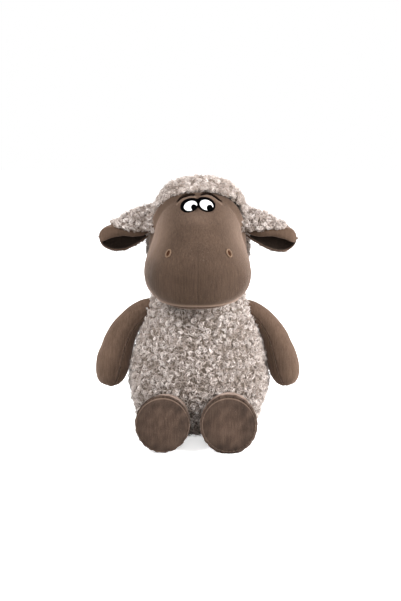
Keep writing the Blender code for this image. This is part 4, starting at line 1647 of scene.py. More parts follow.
@dataclass(frozen=True)
class Oval:
    """An oval of stitches on the face, seen from the front, in metres and degrees."""

    x: float
    z: float
    long: float
    short: float
    tilt: float = 0.0

    def outline(self, angle: Array) -> Array:
        """Points of the oval.

        Args:
            angle: places round it.

        Returns:
            X and height of each.
        """
        lean = math.radians(self.tilt)
        u, v = self.long * np.cos(angle), self.short * np.sin(angle)
        x = self.x + u * math.cos(lean) - v * math.sin(lean)
        return np.stack((x, self.z + u * math.sin(lean) + v * math.cos(lean)), axis=1)


@dataclass
class Head:
    """The face panels, the chin, the woolly hood, and the stitched eyes, nostrils and brow folds."""

    finishes: Finishes
    fleece: Fleece
    stuffing: Stuffing
    form: HeadForm
    cloth: float = 1.5 * MM
    backing: float = 1.4 * MM
    gap: float = 1.6 * MM
    surface: Optional[BVHTree] = None
    brow_lines: ClassVar[dict[Side, Table]] = {
        Side.RIGHT: ((-23.6, 272.6), (-19.5, 276.5), (-14.0, 279.0), (-8.0, 280.2), (-2.6, 280.2)),
        Side.LEFT: ((2.9, 279.8), (8.0, 281.2), (12.6, 281.0), (18.6, 278.4), (26.6, 272.8)),
    }
    eyes: ClassVar[dict[Side, Oval]] = {
        Side.RIGHT: Oval(-8.2 * MM, 269.1 * MM, 7.6 * MM, 4.8 * MM, 17.0),
        Side.LEFT: Oval(9.4 * MM, 269.9 * MM, 7.7 * MM, 5.1 * MM, -17.0),
    }
    pupils: ClassVar[dict[Side, Oval]] = {
        Side.RIGHT: Oval(-4.4 * MM, 267.3 * MM, 3.5 * MM, 3.2 * MM),
        Side.LEFT: Oval(12.9 * MM, 266.9 * MM, 3.5 * MM, 3.2 * MM),
    }

    @property
    def seams(self) -> Seams:
        """The planes that the head's pieces are cut along."""
        return Seams(self.form)

    def build(self) -> None:
        """Builds the head."""
        self.build_face()
        self.build_hood()
        self.build_eyes()
        self.build_nostrils()
        self.build_brows()
        fill_inside("head_fibre", "head_stuffing", "head", self.finishes.filling, 0.8, 6.5)

    def over_brows(self, places: Array, inner: float) -> Iterator[Pair]:
        """Goes through the folds over the eyes.

        Args:
            places: points of the head.
            inner: how far inside its ends a fold has its full height, in metres.

        Yields:
            For each fold, how much of it each point has, and how high the point lies over its line.
        """
        x, _, z = places.T
        outer = 2 * MM
        for line in self.brow_lines.values():
            curve = curve_rows(line, 60) * MM
            start, stop = curve[0, 0], curve[-1, 0]
            inside = smooth_step(x, start - outer, start + inner) - smooth_step(x, stop - inner, stop + outer)
            yield inside, z - np.interp(x, curve[:, 0], curve[:, 1])

    def shaped(self, places: Array) -> Array:
        """How far each point of the bare head is pushed out to give the face its form.

        Args:
            places: points of the head.

        Returns:
            The push along the normal, in metres.
        """
        x, y, z = places.T
        side = np.abs(x)
        front = smooth_step(-y, -0.01, 0.02)
        levels = (0.205, 0.226, 0.240, 0.256, 0.268, 0.277)
        edge = np.interp(z, levels, (0.062, 0.0555, 0.050, 0.042, 0.033, 0.027))
        high = smooth_step(z, 0.214, 0.240) * (1 - smooth_step(z, 0.276, 0.290))
        temple = smooth_step(side - edge, -0.010, 0.012) * high
        place, out = self.seams.chin_plane
        above = (places - place) @ out
        welt = 0.9 * bump(above - 1.6 * MM, 1.5 * MM) - 1.5 * bump(above + 0.2 * MM, 0.9 * MM)
        middle = -0.4 * bump(x, 0.6 * MM) * smooth_step(0.240 - z, 0, 0.03)
        socket = -0.8 * bump(x, 0.016) * bump(z - 0.2665, 0.010)
        soft = 0.30 * ripple(places, 0.045, 3)
        jowl = smooth_step(side, 0.030, 0.055) * bump(z - 0.182, 0.024) * np.where(x < 0, 4.2, 3.4)
        fold = np.zeros(len(places))
        for inside, above in self.over_brows(places, 3 * MM):
            fold += inside * (0.9 * bump(above + 1.9 * MM, 1.3 * MM) - 0.9 * bump(above, 0.9 * MM))
        round_off = smooth_step(side, 0.016, 0.060) * smooth_step(z, 0.200, 0.236)
        hood_place, hood_way = self.seams.hood_plane
        ahead = (hood_place - places) @ hood_way
        meeting = smooth_step(ahead, 1 * MM, 9 * MM)
        tuck = -2.2 * smooth_step(-ahead, 0, 3 * MM)
        slope = -(1.4 * temple + 4.0 * round_off) * meeting * front
        return MM * (slope + tuck + welt + (middle + socket + fold) * front + soft + jowl)

    def build_face(self) -> None:
        """The two face panels and the chin."""
        whole = Piece.sheet("face_skin", self.form.grid(190, 420, 0.0), wrap=True)
        bag = Piece.sheet("face_bag", self.form.grid(90, 160, 0.0), wrap=True)
        hood_place, hood_way = self.seams.hood_plane
        chin_place, chin_up = self.seams.chin_plane
        at_hood = np.abs((bag.places - hood_place) @ hood_way) < 1.5 * MM
        at_chin = np.abs((bag.places - chin_place) @ chin_up) < 1.5 * MM
        self.stuffing.swell([whole], bag, bag.places[at_hood | at_chin])
        whole.push(self.shaped(whole.places))
        self.surface = whole.surface
        top = (hood_place + hood_way * 7 * MM, hood_way)
        cuts = {
            "face_panel_left": (top, (chin_place, -chin_up), ((0, 0, 0), (-1, 0, 0))),
            "face_panel_right": (top, (chin_place, -chin_up), ((0, 0, 0), (1, 0, 0))),
            "chin_panel": ((hood_place, hood_way), (chin_place, chin_up)),
        }
        body = BodyForm()
        for node, planes in cuts.items():
            panel = whole.copy(node.replace("_panel", "_cloth"))
            for place, away in planes:
                panel.trim(place, away)
            body.hide(panel, body.width, 5 * MM)
            # Painted shade and painted highlights on the face's pile.
            panel.mark("shade", self.face_shade(panel.places)).mark("brushed", self.face_brush(panel.places))
            panel.thicken(self.cloth).dress(self.finishes.velour)
            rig.ride(panel.item, "head")
            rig.replaces(panel.item, node)
            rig.padded(panel.item, 0.9)
        whole.discard()

    @staticmethod
    def face_shade(places: Array) -> Array:
        """Painted shade: darker pile down the middle seam, and low on the right cheek.

        Args:
            places: points of the face.

        Returns:
            One value for each point, 0 where it isn't darker.
        """
        x, _, z = places.T
        middle = 0.22 * bump(x, 0.6 * MM) * smooth_step(0.240 - z, 0, 0.03)
        return middle + 0.6 * smooth_step(-x, 0.035, 0.058) * smooth_step(0.214 - z, -0.006, 0.012)

    def face_brush(self, places: Array) -> Array:
        """Painted highlights: paler pile on both cheeks, under the eyes, under the brow folds and along the welt.

        Args:
            places: points of the face.

        Returns:
            One value from 0 to 1 for each point.
        """
        x, _, z = places.T
        cheek = 0.30 * smooth_step(np.abs(x) + 0.4 * (z - 0.22), 0.030, 0.060) * bump(z - 0.232, 0.030)
        bridge = 0.10 * bump(x, 0.018) * bump(z - 0.2575, 0.007)
        place, out = self.seams.chin_plane
        welt = 0.7 * bump((places - place) @ out - 1.6 * MM, 1.6 * MM)
        rims = np.zeros(len(places))
        for inside, above in self.over_brows(places, 0.0):
            rims = np.maximum(rims, 0.3 * inside * bump(above + 2.2 * MM, 0.9 * MM))
        return np.clip(np.maximum.reduce((cheek + bridge, welt, rims)), 0, 1)

    def build_hood(self) -> None:
        """The hood's knitted cloth and its wool."""
        hood_place, hood_way = self.seams.hood_plane
        skin = Piece.sheet("hood_backing", self.form.grid(110, 260, -self.gap), wrap=True)
        skin.push(0.6 * MM * ripple(skin.places, 0.009, 8))
        shift = np.array((2.8, 0.0, 0.5)) * MM
        skin.move(skin.places + shift * smooth_step(skin.places[:, 2:], 0.240, 0.272))
        rim = hood_place + hood_way * self.gap
        skin.trim(rim, -hood_way)
        body = BodyForm()
        body.hide(skin, body.width, 5 * MM)
        locks = self.fleece.grow("hood_wool", skin, 21, [(rim, -hood_way)])
        for piece in self.finishes.woolly(skin.thicken(self.backing), locks):
            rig.ride(piece.item, "head")
        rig.replaces(skin.item, "wool_hood")
        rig.padded(skin.item, 0.8)

    def on_face(self, x: float, z: float) -> Pair:
        """The point of the face at a place seen from the front.

        Args:
            x: distance from the middle.
            z: height.

        Returns:
            The point, and the direction out of the face.
        """
        place, normal, _, _ = self.surface.ray_cast(Vector((x, -0.3, z)), Vector((0, 1, 0)))
        out = np.array(normal)
        return np.array(place), out if out[1] < 0 else -out

    def patch(
        self, name: str, node: str, outline: Outline, lift: tuple[float, float], coat: Coat, lay: float
    ) -> None:
        """A raised patch of satin stitch on the face.

        Args:
            name: the piece's name.
            node: the CAD node that it stands for.
            outline: X and height at each angle.
            lift: the heights of its underside and its crown over the face, in millimetres.
            coat: its finish.
            lay: the direction of the threads, as an angle.
        """
        low, high = lift[0] * MM, lift[1] * MM
        columns = 112
        edge = outline(np.arange(columns) * TAU / columns)
        centre = edge.mean(axis=0)
        centre_normal = self.on_face(*centre)[1]
        rows = []
        under = [(share, low) for share in np.linspace(0, 1, 4)]
        over = [(share, low + (high - low) * (1 - share**5) ** 0.5) for share in np.linspace(1, 0, 15)]
        for share, height in (*under, *over):
            row = []
            for x, z in centre + (edge - centre) * share:
                place, normal = self.on_face(x, z)
                row.append(place + unit(normal + centre_normal) * height)
            rows.append(row)
        piece = Piece.sheet(name, np.array(rows), wrap=True)
        places = piece.places
        turned = places[:, 0] * math.cos(lay) + places[:, 2] * math.sin(lay)
        other = places[:, 2] * math.cos(lay) - places[:, 0] * math.sin(lay)
        piece.mark("lie", np.stack((turned / MM, other / MM * 0.2, np.zeros(len(turned))), axis=1))
        piece.dress(coat)
        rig.ride(piece.item, "head")
        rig.replaces(piece.item, node)

    def surround(self, angle: Array) -> Array:
        """The outline round both eyes, the further of two grown ovals in each direction.

        Args:
            angle: places round it.

        Returns:
            X and height of each.
        """
        middle = np.array((0.9 * MM, 269.6 * MM))
        reach = np.zeros(len(angle))
        way = np.stack((np.cos(angle), np.sin(angle)), axis=1)
        for eye in self.eyes.values():
            x = eye.x - (0.9 * MM if eye.x < 0 else 0.5 * MM)
            grown = Oval(x, eye.z + 1.2 * MM, eye.long + 3.4 * MM, eye.short + 2.1 * MM, eye.tilt)
            edge = grown.outline(np.linspace(0, TAU, 721)) - middle
            turn = np.arctan2(edge[:, 1], edge[:, 0])
            length = np.linalg.norm(edge, axis=1)
            for i, goal in enumerate(angle):
                near = np.abs((turn - goal + math.pi) % TAU - math.pi) < 0.02
                reach[i] = max(reach[i], length[near].max(initial=0.0))
        soft = np.convolve(np.concatenate((reach[-2:], reach, reach[:2])), np.ones(5) / 5, "valid")
        return middle + way * soft[:, None]

    def build_eyes(self) -> None:
        """The black patch, the white eyeballs and the pupils."""
        black, white = self.finishes.black, self.finishes.white
        self.patch("eye_patch", "eye_surround", self.surround, (0.2, 1.1), black, 0.3)
        for side, eye in self.eyes.items():
            word, pupil = side.word, self.pupils[side]
            self.patch(f"eyeball_{word}", f"eye_white_{word}", eye.outline, (0.9, 1.9), white, 0.1)
            self.patch(f"eye_pupil_{word}", f"pupil_{word}", pupil.outline, (1.5, 2.5), black, 1.2)

    def build_nostrils(self) -> None:
        """Two stitched rings with a dark middle."""
        for side, place in ((Side.LEFT, 34.2), (Side.RIGHT, -32.2)):
            middle, out = self.on_face(place * MM, 220.4 * MM)
            across = unit(np.cross(out, (0.0, 0.0, 1.0)))
            up = np.cross(across, out)
            wide, tall = 3.1 * MM, 4.3 * MM
            turn = np.linspace(0, TAU, 73)[:-1]
            oval = [across * math.cos(a) * wide + up * math.sin(a) * tall for a in turn]
            rows = []
            for a, edge in zip(turn, oval):
                way = across * math.cos(a) + up * math.sin(a)
                thick = 0.95 * MM * (1 + 0.10 * math.cos(a * 18))
                row = []
                for b in np.linspace(0, TAU, 13)[:-1]:
                    raised = 0.5 * MM + thick * math.sin(b)
                    row.append(middle + edge + way * thick * math.cos(b) + out * raised)
                rows.append(row)
            rows.append(rows[0])
            ring = Piece.sheet(f"nostril_ring_{side.word}", np.array(rows), wrap=True)
            disc = []
            for share, lift in ((0.0, 0.25), (0.5, 0.35), (1.0, 0.7)):
                disc.append([middle + edge * share + out * lift * MM for edge in oval])
            hole = Piece.sheet(f"nostril_middle_{side.word}", np.array(disc), wrap=True)
            for piece, threads, coat in ((ring, 26, self.finishes.brown), (hole, 20, self.finishes.hole)):
                offset = piece.places - middle
                turned = np.arctan2(offset @ up, offset @ across) / TAU * threads
                outward = np.linalg.norm(offset, axis=1) / MM
                piece.mark("lie", np.stack((turned, outward, np.zeros(len(turned))), axis=1)).dress(coat)
                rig.ride(piece.item, "head")
            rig.replaces(ring.item, f"nostril_{side.word}")

    def build_brows(self) -> None:
        """The stitched folds over the eyes."""
        steps = 34
        share = np.linspace(0, 1, steps)
        for side, line in self.brow_lines.items():
            path = []
            for x, z in curve_rows(line, steps):
                place, normal = self.on_face(x * MM, z * MM)
                path.append(place + normal * 1.3 * MM)
            inward = share if side is Side.RIGHT else 1 - share
            swell = np.interp(inward, (0, 0.2, 0.55, 0.9, 1), (0.3, 0.7, 1, 0.7, 0.2))
            radii = 1.7 * MM * swell * (1 + 0.1 * np.cos(share * 90))
            brow = tubes(f"brow_stitch_{side.word}", np.array([path]), np.array([radii]), 8, np.array([0.5]))
            brow.dress(self.finishes.fold)
            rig.ride(brow.item, "head")
            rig.replaces(brow.item, f"brow_{side.word}")


@dataclass
class Ear:
    """One ear: a folded leaf, wool over its top and back, short pile inside and rolled over the front rim."""

    finishes: Finishes
    fleece: Fleece
    side: Side
    middle: float = -0.018
    stations: Table = (
        (50.0, 266.0, 237.0, 236.0, 234.6, 0.3, 0.95), (56.0, 265.6, 238.0, 235.2, 231.0, 0.45, 0.95),
        (62.0, 264.6, 238.6, 232.4, 226.2, 0.66, 0.96), (70.0, 262.2, 239.2, 231.0, 221.2, 0.88, 1.0),
        (78.0, 258.6, 240.3, 231.4, 216.8, 1.0, 1.0), (86.0, 252.6, 241.0, 231.8, 213.8, 1.0, 0.98),
        (94.0, 247.0, 241.5, 231.0, 213.0, 1.0, 0.92), (101.0, 243.4, 241.6, 229.0, 214.0, 0.92, 0.8),
        (107.0, 241.2, 240.4, 226.2, 216.6, 0.74, 0.62), (111.2, 238.0, 237.6, 225.0, 219.8, 0.52, 0.4),
        (113.8, 234.0, 233.8, 227.4, 224.4, 0.28, 0.18), (114.8, 230.0, 230.0, 229.4, 229.4, 0.05, 0.05),
    )
    forward: tuple[float, ...] = (6.0, 10.5, 12.4, 10.6, 5.5, -2.0, -8.0, -10.0, -8.0, -2.5, 3.0, 5.5)
    cloth: float = 1.4 * MM
    backing: float = 1.0 * MM
    crest_drop: ClassVar[dict[Side, float]] = {Side.LEFT: 4.4 * MM, Side.RIGHT: 2.4 * MM}
    tip_drop: ClassVar[dict[Side, float]] = {Side.LEFT: 1.1 * MM, Side.RIGHT: 0.0}
    wool_end: ClassVar[dict[Side, float]] = {Side.LEFT: 0.0985, Side.RIGHT: 0.0945}

    def section(self, station: Array, woolly: bool, columns: int) -> Array:
        """The leaf's section at one place along the ear, from the rolled lip over the top to the lower rim.

        Args:
            station: distance from the middle, heights of the crest, the lining's top, the lip and the lower
                rim, and the depth of the lining and of the wool as shares.
            woolly: whether the section is the wool's.
            columns: how many points.

        Returns:
            Forward reach and height of each point, in millimetres.
        """
        _, crest, top, lip, low, pile_depth, wool_depth = station
        depth = wool_depth if woolly else pile_depth
        back = low + np.array((0.80, 0.50, 0.24, 0.05, 0.0)) * (crest - low)
        lining = (lip + 0.7, lip, lip + 0.45 * (top - lip), top, top + 0.72 * (crest - top), crest)
        heights = (*lining, *back, low + 0.10 * (lip - low))
        rows = np.stack((np.array(self.forward) * depth, np.array(heights)), axis=1)
        return curve_rows(tuple(map(tuple, rows + 1000)), columns) - 1000

    def sheet(self, woolly: bool, lift: float, rows: int, columns: int) -> Array:
        """Points across the folded leaf, from its root to its tip.

        Args:
            woolly: whether the sheet is the wool's.
            lift: how far outside the leaf's own surface, in metres.
            rows: points along the ear.
            columns: points across it.

        Returns:
            Points by row and column.
        """
        made = []
        for station in curve_rows(self.stations, rows):
            places = self.section(station, woolly, columns) * MM
            tangent = unit(np.gradient(places, axis=0))
            places += np.stack((tangent[:, 1], -tangent[:, 0]), axis=1) * lift
            x = self.side.value * station[0] * MM
            crest, top = station[1] * MM, station[2] * MM
            upper = smooth_step(places[:, 1], min(top, crest - 4 * MM) - 3 * MM, crest)
            places[:, 1] -= self.crest_drop[self.side] * bump(station[0] - 68.0, 18.0) * upper
            places[:, 1] -= self.tip_drop[self.side] * smooth_step(station[0], 78.0, 96.0)
            made.append(np.stack((np.full(columns, x), self.middle - places[:, 0], places[:, 1]), axis=1))
        return np.array(made)

    def hollow_shade(self, lining: Piece) -> Array:
        """Painted shade where the pile lies deep in the ear's hollow.

        Args:
            lining: the ear's lining with both its faces.

        Returns:
            One value for each point, 1 deep inside.
        """
        places, normals = lining.places, lining.normals
        stations = np.array(self.stations)
        reach = np.abs(places[:, 0]) / MM
        lip, low, depth = (np.interp(reach, stations[:, 0], stations[:, k]) for k in (3, 4, 5))
        middle = np.full(len(places), self.middle - 1 * MM)
        heart = np.stack((places[:, 0], middle, (0.5 * lip + 0.5 * low) * MM), axis=1)
        inside = smooth_step(np.sum(normals * unit(heart - places), axis=1), 0.1, 0.5)
        ahead = (self.middle - places[:, 1]) / MM / depth
        return 0.8 * inside * smooth_step(-ahead, -9.0, -2.5)

    def build(self) -> None:
        """The lining, and the wool on its outside."""
        word, turn = self.side.word, self.side.value
        behind = Vector((0, 1, 0))
        lining = Piece.sheet(f"ear_pile_{word}", self.sheet(False, 0.0, 110, 130), outside=behind)
        lining.push(0.25 * MM * ripple(lining.places, 0.012, 31))
        lining.thicken(self.cloth)
        # Painted shade deep in the ear's hollow.
        lining.mark("shade", self.hollow_shade(lining)).dress(self.finishes.lining)
        grid = self.sheet(True, 1.2 * MM, 80, 120)
        skin = Piece.sheet(f"ear_backing_{word}", grid[:, 31:98], outside=behind)
        skin.trim((turn * self.wool_end[self.side], -0.030, 0), (turn * 0.93, -0.36, 0))
        locks = self.fleece.grow(f"ear_wool_{word}", skin, 41 + turn)
        start, end = (turn * 0.058, self.middle, 0.2416), (turn * 0.080, self.middle, 0.2345)
        for piece in (lining, *self.finishes.woolly(skin.thicken(self.backing), locks)):
            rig.blend(piece.item, "head", f"ear_{word}", start, end)
        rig.replaces(lining.item, f"ear_lining_{word}")
        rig.replaces(skin.item, f"ear_wool_{word}")


@dataclass
class Arm:
    """One arm: a curved sausage of two panels."""

    finishes: Finishes
    stuffing: Stuffing
    side: Side
    body: BodyForm
    cloth: float = 1.5 * MM
    spread: float = 0.0505
    width: float = 0.0376
    flatness: float = 0.84
    seam: float = math.radians(120)
    shoulder: float = 0.14308
    forward: float = 0.010
    rings: Table = (
        (-0.12, -0.01, 0.42), (0.03, 0.005, 0.49), (0.19, 0.05, 0.57), (0.4, 0.145, 0.66),
        (0.59, 0.28, 0.78), (0.73, 0.43, 0.9), (0.825, 0.585, 0.985), (0.895, 0.73, 1.0),
        (0.945, 0.86, 0.88), (0.97, 0.94, 0.66), (0.98, 0.975, 0.38), (0.984, 0.985, 0.0),
    )
    drops: ClassVar[dict[Side, float]] = {Side.LEFT: 0.0950, Side.RIGHT: 0.093}

    def grid(self, rows: int, angles: Array) -> Array:
        """Rings of the arm, from the shoulder to the hand.

        Args:
            rows: how many rings.
            angles: places round a ring, 0 away from the body.

        Returns:
            Points by ring and place round it.
        """
        turn = self.side.value
        spread, drop, width = curve_rows(self.rings, rows).T
        root = self.body.half_width(self.shoulder) - 5 * MM
        level = self.shoulder - drop * self.drops[self.side]
        centres = np.stack((turn * (root + spread * self.spread), -self.forward * drop, level), axis=1)
        along = unit(np.gradient(centres, axis=0))
        front = np.array((0.0, -1.0, 0.0))
        out = unit(np.cross(along, front)) * -turn
        radius = width * self.width / 2
        ring = out[:, None] * np.cos(angles)[:, None] + front * (np.sin(angles) * self.flatness)[:, None]
        return centres[:, None] + ring * radius[:, None, None]

    def build(self) -> None:
        """The two panels, each with its edges drawn in at the seam."""
        word, turn = self.side.word, self.side.value
        panels = {}
        halves = (("outer", -self.seam, self.seam, 84), ("inner", self.seam, TAU - self.seam, 64))
        for half, start, stop, columns in halves:
            grid = self.grid(130, np.linspace(start, stop, columns))
            panels[half] = Piece.sheet(f"arm_{half}_cloth_{word}", grid)
        bag = Piece.sheet(f"arm_bag_{word}", closed(self.grid(90, np.arange(48) * TAU / 48)), wrap=True)
        edges = self.grid(130, np.array((-self.seam, self.seam))).reshape(-1, 3)
        self.stuffing.swell(list(panels.values()), bag, edges)
        bend = (turn * 0.055, 0.0, 0.152), (turn * 0.075, -0.002, 0.132)
        for half, panel in panels.items():
            panel.push(self.drawn_in(panel, edges))
            panel.thicken(self.cloth).dress(self.finishes.limb)
            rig.blend(panel.item, "torso", f"arm_{word}", *bend)
            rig.replaces(panel.item, f"arm_{half}_panel_{word}")
            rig.padded(panel.item, 0.85)
        filling = self.finishes.filling
        fill_inside(f"arm_fibre_{word}", f"arm_stuffing_{word}", f"arm_{word}", filling, 0.5, 1.2, bend)

    @staticmethod
    def drawn_in(panel: Piece, edges: Array) -> Array:
        """How far the cloth lies in or out: in at the seams, with small puckers beside them.

        Args:
            panel: the cloth.
            edges: points of the two seams, by turns, from the shoulder to the hand.

        Returns:
            One value in metres for each point.
        """
        places = panel.places
        tree = point_tree(edges)
        found = [tree.find(Vector(place)) for place in places]
        row = np.array([number // 2 for _, number, _ in found])
        gap = np.array([gap for _, _, gap in found])
        pucker = np.sin(row * 1.35 + 1.2 * np.sin(row * 0.31))
        want = 0.45 * bump(gap - 2.4 * MM, 1.8 * MM) * (0.6 + 0.6 * pucker) - bump(gap, 0.9 * MM)
        return MM * (want + 0.3 * ripple(places, 0.03, 51))


@dataclass
class Leg:
    """One leg: a short tube and a round sole with a gathered edge."""

    finishes: Finishes
    stuffing: Stuffing
    side: Side
    body: BodyForm
    cloth: float = 1.5 * MM
    spacing: float = 0.0705
    diameter: float = 0.0600
    sole: float = 0.0610
    reach: float = 0.035
    tilt: float = math.radians(13)
    flat: float = 0.0005
    rings: Table = (
        (0.0, 0.83), (0.35, 0.9), (0.65, 0.97), (0.85, 1.0), (0.96, 0.995), (1.0, 0.97),
    )
    splay: ClassVar[dict[Side, float]] = {Side.LEFT: -0.0008, Side.RIGHT: 0.0042}

    def build(self) -> None:
        """The tube, the sole and the stitches between them."""
        word, turn = self.side.word, self.side.value
        tube = Piece.sheet(f"leg_cloth_{word}", self.rounds(90, 220), wrap=True)
        places = tube.places
        ends = places[(places[:, 1] < places[:, 1].min() + 16 * MM) | (places[:, 2] < 1 * MM)]
        bag = Piece.sheet(f"leg_bag_{word}", closed(self.rounds(30, 60)), wrap=True)
        self.stuffing.swell([tube], bag, ends)
        self.body.hide(tube, self.body.depth, 4 * MM)
        tube.thicken(self.cloth).dress(self.finishes.sole)
        start, end = (turn * 0.035, -0.062, 0.03), (turn * 0.035, -0.092, 0.03)
        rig.blend(tube.item, "torso", f"leg_{word}", start, end)
        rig.replaces(tube.item, f"leg_cover_{word}")
        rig.padded(tube.item, 0.9)
        sole = self.disc().dress(self.finishes.sole)
        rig.ride(sole.item, f"leg_{word}")
        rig.replaces(sole.item, f"foot_sole_{word}")
        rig.padded(sole.item, 0.7)
        stitches = self.stitches()
        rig.ride(stitches.item, f"leg_{word}")
        filling = self.finishes.filling
        fill_inside(f"leg_fibre_{word}", f"leg_stuffing_{word}", f"leg_{word}", filling, 0.5)

    def centre(self, along: float) -> float:
        """How far the leg's middle lies from the toy's middle, at a share of its length."""
        return self.spacing / 2 + self.splay[self.side] * along**2

    @staticmethod
    def gathers(angle: Array) -> Array:
        """The puckers of the gathered seam round the sole."""
        return np.sin(angle * 21 + 1.5 * np.sin(angle * 3)) + 0.4 * np.sin(angle * 34)

    def rounds(self, count: int, columns: int) -> Array:
        """Rings of the leg, from the hip to the sole.

        Args:
            count: how many rings.
            columns: how many points a ring has.

        Returns:
            Points by ring and place round it.
        """
        turn = self.side.value
        root = 0.40 * self.body.depth / 2
        length = self.body.depth / 2 + self.reach - root
        angle = np.arange(columns) * TAU / columns
        gathers = self.gathers(angle)
        rows = []
        for along, width in curve_rows(self.rings, count):
            outer = width * self.diameter / 2
            to_end = (1 - along) * length
            gather = 0.4 * MM * math.exp(-to_end / (5 * MM)) * gathers
            swell = 0.5 * MM * bump(to_end - 3 * MM, 2.5 * MM) - 1.5 * MM * bump(to_end, 1.1 * MM)
            radius = outer + gather * (1 - bump(to_end, 0.8 * MM) * 0.6) + swell
            raised = (1.0 + 1.6 * np.sin(angle).clip(0, 1) ** 2) * MM * along**6
            z = np.maximum(outer - self.flat + radius * np.sin(angle) + raised, 0.0004)
            lean = along**3 * (z - self.sole / 2) * math.tan(self.tilt)
            x = turn * self.centre(along) + radius * np.cos(angle)
            rows.append(np.stack((x, lean - root - along * length, z), axis=1))
        return np.array(rows)[:, ::-turn]

    def sole_point(self, reach: float, angle: float, rise: float) -> Array:
        """A point of the sole.

        Args:
            reach: its distance from the middle, in metres.
            angle: its place round the middle.
            rise: its height over the leg's end, in metres.

        Returns:
            The point.
        """
        up = reach * math.sin(angle)
        y = up * math.tan(self.tilt) - self.body.depth / 2 - self.reach - 0.3 * MM - rise
        lift = (1.3 + 0.9 * (1 + math.sin(angle)) * reach / self.sole) * MM
        x = self.side.value * self.centre(1.0) + reach * math.cos(angle)
        return np.array((x, y, self.sole / 2 + lift + up))

    def disc(self) -> Piece:
        """The sole, crowned, its edge turned in and gathered, with painted shade towards its edge and a painted
        highlight on its upper rim.

        Returns:
            The piece.
        """
        radius = self.sole / 2 - 0.3 * MM
        profile = (
            (0.0, 0.0), (0.93, 0.0), (0.985, 0.4), (1.0, 1.0), (0.997, 1.7), (0.98, 2.0), (0.962, 1.4),
            (0.935, 1.6), (0.85, 2.4), (0.65, 3.4), (0.35, 4.0), (0.0, 4.2),
        )
        angles = np.arange(200) * TAU / 200
        rows = []
        for reach, rise in curve_rows(profile, 60):
            row = []
            for angle, wave in zip(angles, self.gathers(angles) * reach**14):
                row.append(self.sole_point(radius * reach + 0.2 * MM * wave, angle, (rise + 0.3 * wave) * MM))
            rows.append(row)
        piece = Piece.sheet(f"sole_cloth_{self.side.word}", np.array(rows), wrap=True)
        middle = np.array((self.side.value * self.centre(1.0), 0.0, self.sole / 2))
        reach = np.hypot(*(piece.places - middle).T[[0, 2]] / radius)
        above = smooth_step(piece.places[:, 2], 0.010, 0.045)
        patches = ripple(piece.places, 0.006, 61).clip(-1, 1)
        # Painted highlight on the seam's rim, stronger on the upper side, plus pale patches of nap at random.
        piece.mark("brushed", (0.1 + 0.35 * above) * bump(reach - 0.978, 0.014) + 0.06 * patches.clip(0, 1))
        # Painted shade towards the sole's edge, plus darker patches of nap at random.
        return piece.mark("shade", 0.3 * smooth_step(reach, 0.4, 0.9) + 0.22 * (-patches).clip(0, 1))

    def stitches(self) -> Piece:
        """The small stitches over the sole's seam.

        Returns:
            The piece.
        """
        count, steps = 46, 6
        share = np.linspace(0, 1, steps)[:, None]
        arch = np.sin(share * math.pi) * 0.35 * MM - 0.25 * MM
        seam = self.sole / 2 * 0.952
        paths = []
        for angle in (np.arange(count) + 0.5) * TAU / count:
            inner = self.sole_point(seam, angle, 1.6 * MM)
            outer = self.sole_point(seam, angle + 0.075, 1.6 * MM)
            paths.append(inner + (outer - inner) * share + np.array((0, -1, 0)) * arch)
        radii = np.full((count, steps), 0.26 * MM)
        name = f"sole_stitches_{self.side.word}"
        return tubes(name, np.array(paths), radii, 6, np.full(count, 0.5)).dress(self.finishes.stitch)


@dataclass
class Tail:
    """The small woolly flap low on the back."""

    finishes: Finishes
    fleece: Fleece
    inset: float = 2.2 * MM

    def build(self) -> None:
        """The flap and its wool."""
        low, high = (np.array(corner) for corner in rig.box("tail"))
        skin = Piece.of_node("tail_backing", "tail", 2)
        skin.push(np.full(len(skin.mesh.vertices), -self.inset))
        locks = self.fleece.grow("tail_wool", skin, 61)
        start = ((low[0] + high[0]) / 2, low[1], high[2])
        end = (start[0], low[1] + 0.35 * (high[1] - low[1]), high[2] - 0.45 * (high[2] - low[2]))
        for piece in self.finishes.woolly(skin, locks):
            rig.blend(piece.item, "torso", "tail", start, end)
        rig.replaces(skin.item, "tail")
        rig.padded(skin.item, 0.7)


